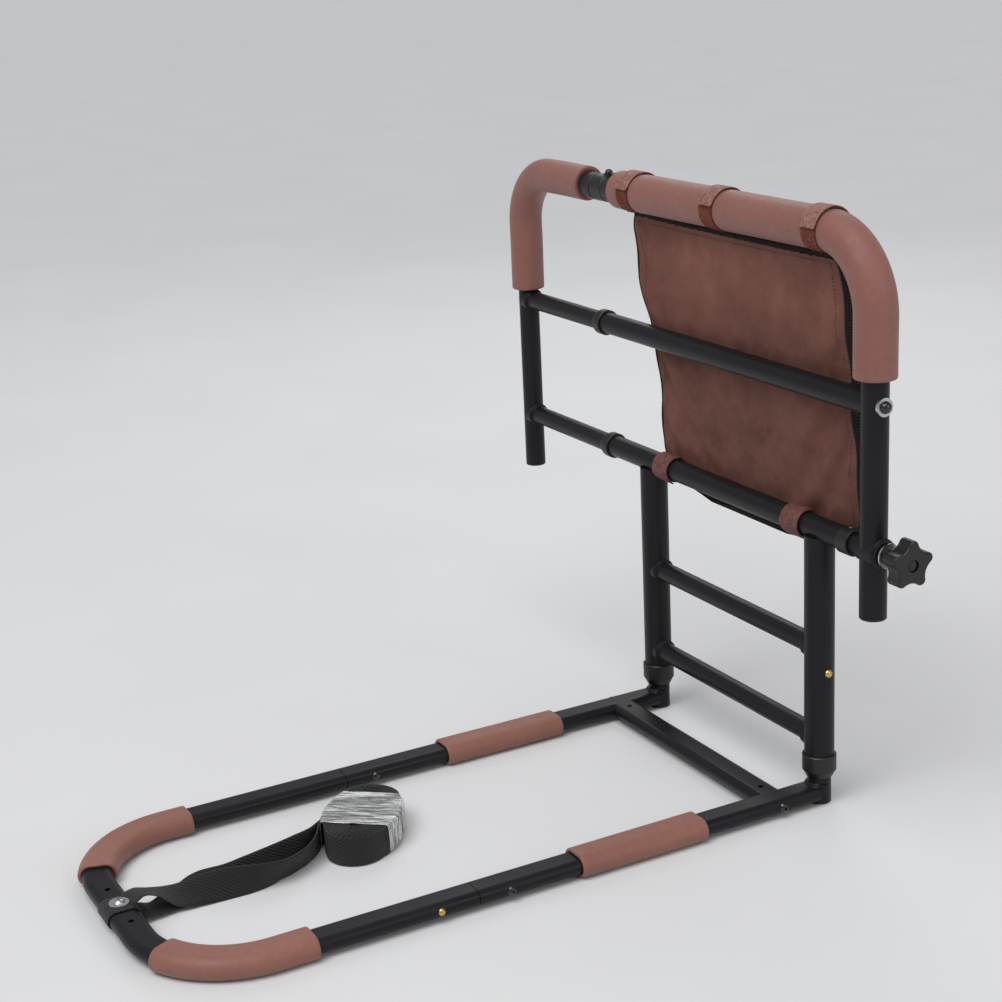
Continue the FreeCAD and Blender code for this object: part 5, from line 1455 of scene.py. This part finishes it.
class BEDRAIL_OT_stage(bpy.types.Operator):
    """Lay the pale floor, hang the lamps and set the camera at the photograph's angle"""
    bl_idname = "bed_rail.stage"
    bl_label = "Floor, lamps and camera"

    def execute(self, context):
        scene = context.scene
        camera = bpy.data.objects.new("rail_camera", bpy.data.cameras.new("rail_camera"))
        scene.collection.objects.link(camera)
        right, up, back = (0.47583, 0.87831, -0.04638), (-0.23734, 0.179, 0.95479), (0.84691, -0.44332, 0.29363)
        place = (1.76905, -0.81805, 0.9368)
        camera.matrix_world = Matrix([[right[i], up[i], back[i], place[i]] for i in range(3)] + [[0, 0, 0, 1]])
        camera.data.sensor_width = 36.0
        camera.data.lens = 69.887
        camera.data.clip_end = 200.0
        scene.camera = camera
        floor = new_piece("studio_floor", [(-45, -45, 0), (45, -45, 0), (45, 45, 0), (-45, 45, 0)], [(0, 1, 2, 3)], False)
        floor.data.materials.append(look_for("floor"))
        lamps = (
            ("key", (0.6, -1.9, 2.6), (0.1, 0.1, 0.2), 1.6, 20.0),
            ("side", (2.6, 1.1, 1.5), (0.1, 0.2, 0.3), 1.4, 10.0),
            ("back", (-1.9, 1.6, 2.0), (0.0, 0.1, 0.3), 1.6, 10.0),
        )
        sky = bpy.data.objects.new("soft_overhead", bpy.data.lights.new("soft_overhead", "SUN"))
        sky.data.energy = 1.35
        sky.data.angle = 0.8
        sky.rotation_mode = "QUATERNION"
        sky.rotation_quaternion = Vector((-0.25, 0.35, -1.0)).to_track_quat("-Z", "Y")
        scene.collection.objects.link(sky)
        for name, start, aim, size, power in lamps:
            data = bpy.data.lights.new("soft_" + name, "AREA")
            data.shape = "DISK"
            data.size = size
            data.energy = power
            lamp = bpy.data.objects.new("soft_" + name, data)
            scene.collection.objects.link(lamp)
            lamp.location = start
            lamp.rotation_mode = "QUATERNION"
            lamp.rotation_quaternion = (Vector(aim) - Vector(start)).to_track_quat("-Z", "Y")
        world = bpy.data.worlds.new("studio_world")
        scene.world = world
        world.use_nodes = True
        tree = world.node_tree
        background = tree.nodes["Background"]
        path = tree.nodes.new("ShaderNodeLightPath")
        mix = tree.nodes.new("ShaderNodeMixShader")
        plain = tree.nodes.new("ShaderNodeBackground")
        plain.inputs["Color"].default_value = (0.82, 0.82, 0.82, 1)
        background.inputs["Color"].default_value = (0.96, 0.98, 1.0, 1)
        background.inputs["Strength"].default_value = 0.4
        tree.links.new(path.outputs["Is Camera Ray"], mix.inputs[0])
        tree.links.new(background.outputs[0], mix.inputs[1])
        tree.links.new(plain.outputs[0], mix.inputs[2])
        tree.links.new(mix.outputs[0], tree.nodes["World Output"].inputs["Surface"])
        scene.view_settings.view_transform = "Standard"
        return {"FINISHED"}


OPERATORS = (
    BEDRAIL_OT_stage,
    BEDRAIL_OT_finish_parts,
    BEDRAIL_OT_weld_ripples,
    BEDRAIL_OT_foam_sleeves,
    BEDRAIL_OT_storage_bag,
    BEDRAIL_OT_bag_straps,
    BEDRAIL_OT_tie_webbing,
)


class BEDRAIL_PT_panel(bpy.types.Panel):
    """Sizes, colours and steps of the bed rail's dressing"""
    bl_label = "Bed rail"
    bl_idname = "BEDRAIL_PT_panel"
    bl_space_type = "VIEW_3D"
    bl_region_type = "UI"
    bl_category = "Bed rail"

    def draw(self, context):
        for group in (context.scene.bed_rail_sizes, context.scene.bed_rail_colours):
            for name in group.bl_rna.properties.keys():
                if name not in ("rna_type", "name"):
                    self.layout.prop(group, name)
        for operator in OPERATORS:
            self.layout.operator(operator.bl_idname)


CLASSES = (BedRailSizes, BedRailColours) + OPERATORS + (BEDRAIL_PT_panel,)


def register():
    for made in CLASSES:
        bpy.utils.register_class(made)
    bpy.types.Scene.bed_rail_sizes = PointerProperty(type=BedRailSizes)
    bpy.types.Scene.bed_rail_colours = PointerProperty(type=BedRailColours)


def unregister():
    del bpy.types.Scene.bed_rail_sizes
    del bpy.types.Scene.bed_rail_colours
    for made in reversed(CLASSES):
        bpy.utils.unregister_class(made)


def main():
    register()
    for operator in OPERATORS:
        group, name = operator.bl_idname.split(".")
        getattr(getattr(bpy.ops, group), name)()


if __name__ == "__main__":
    main()
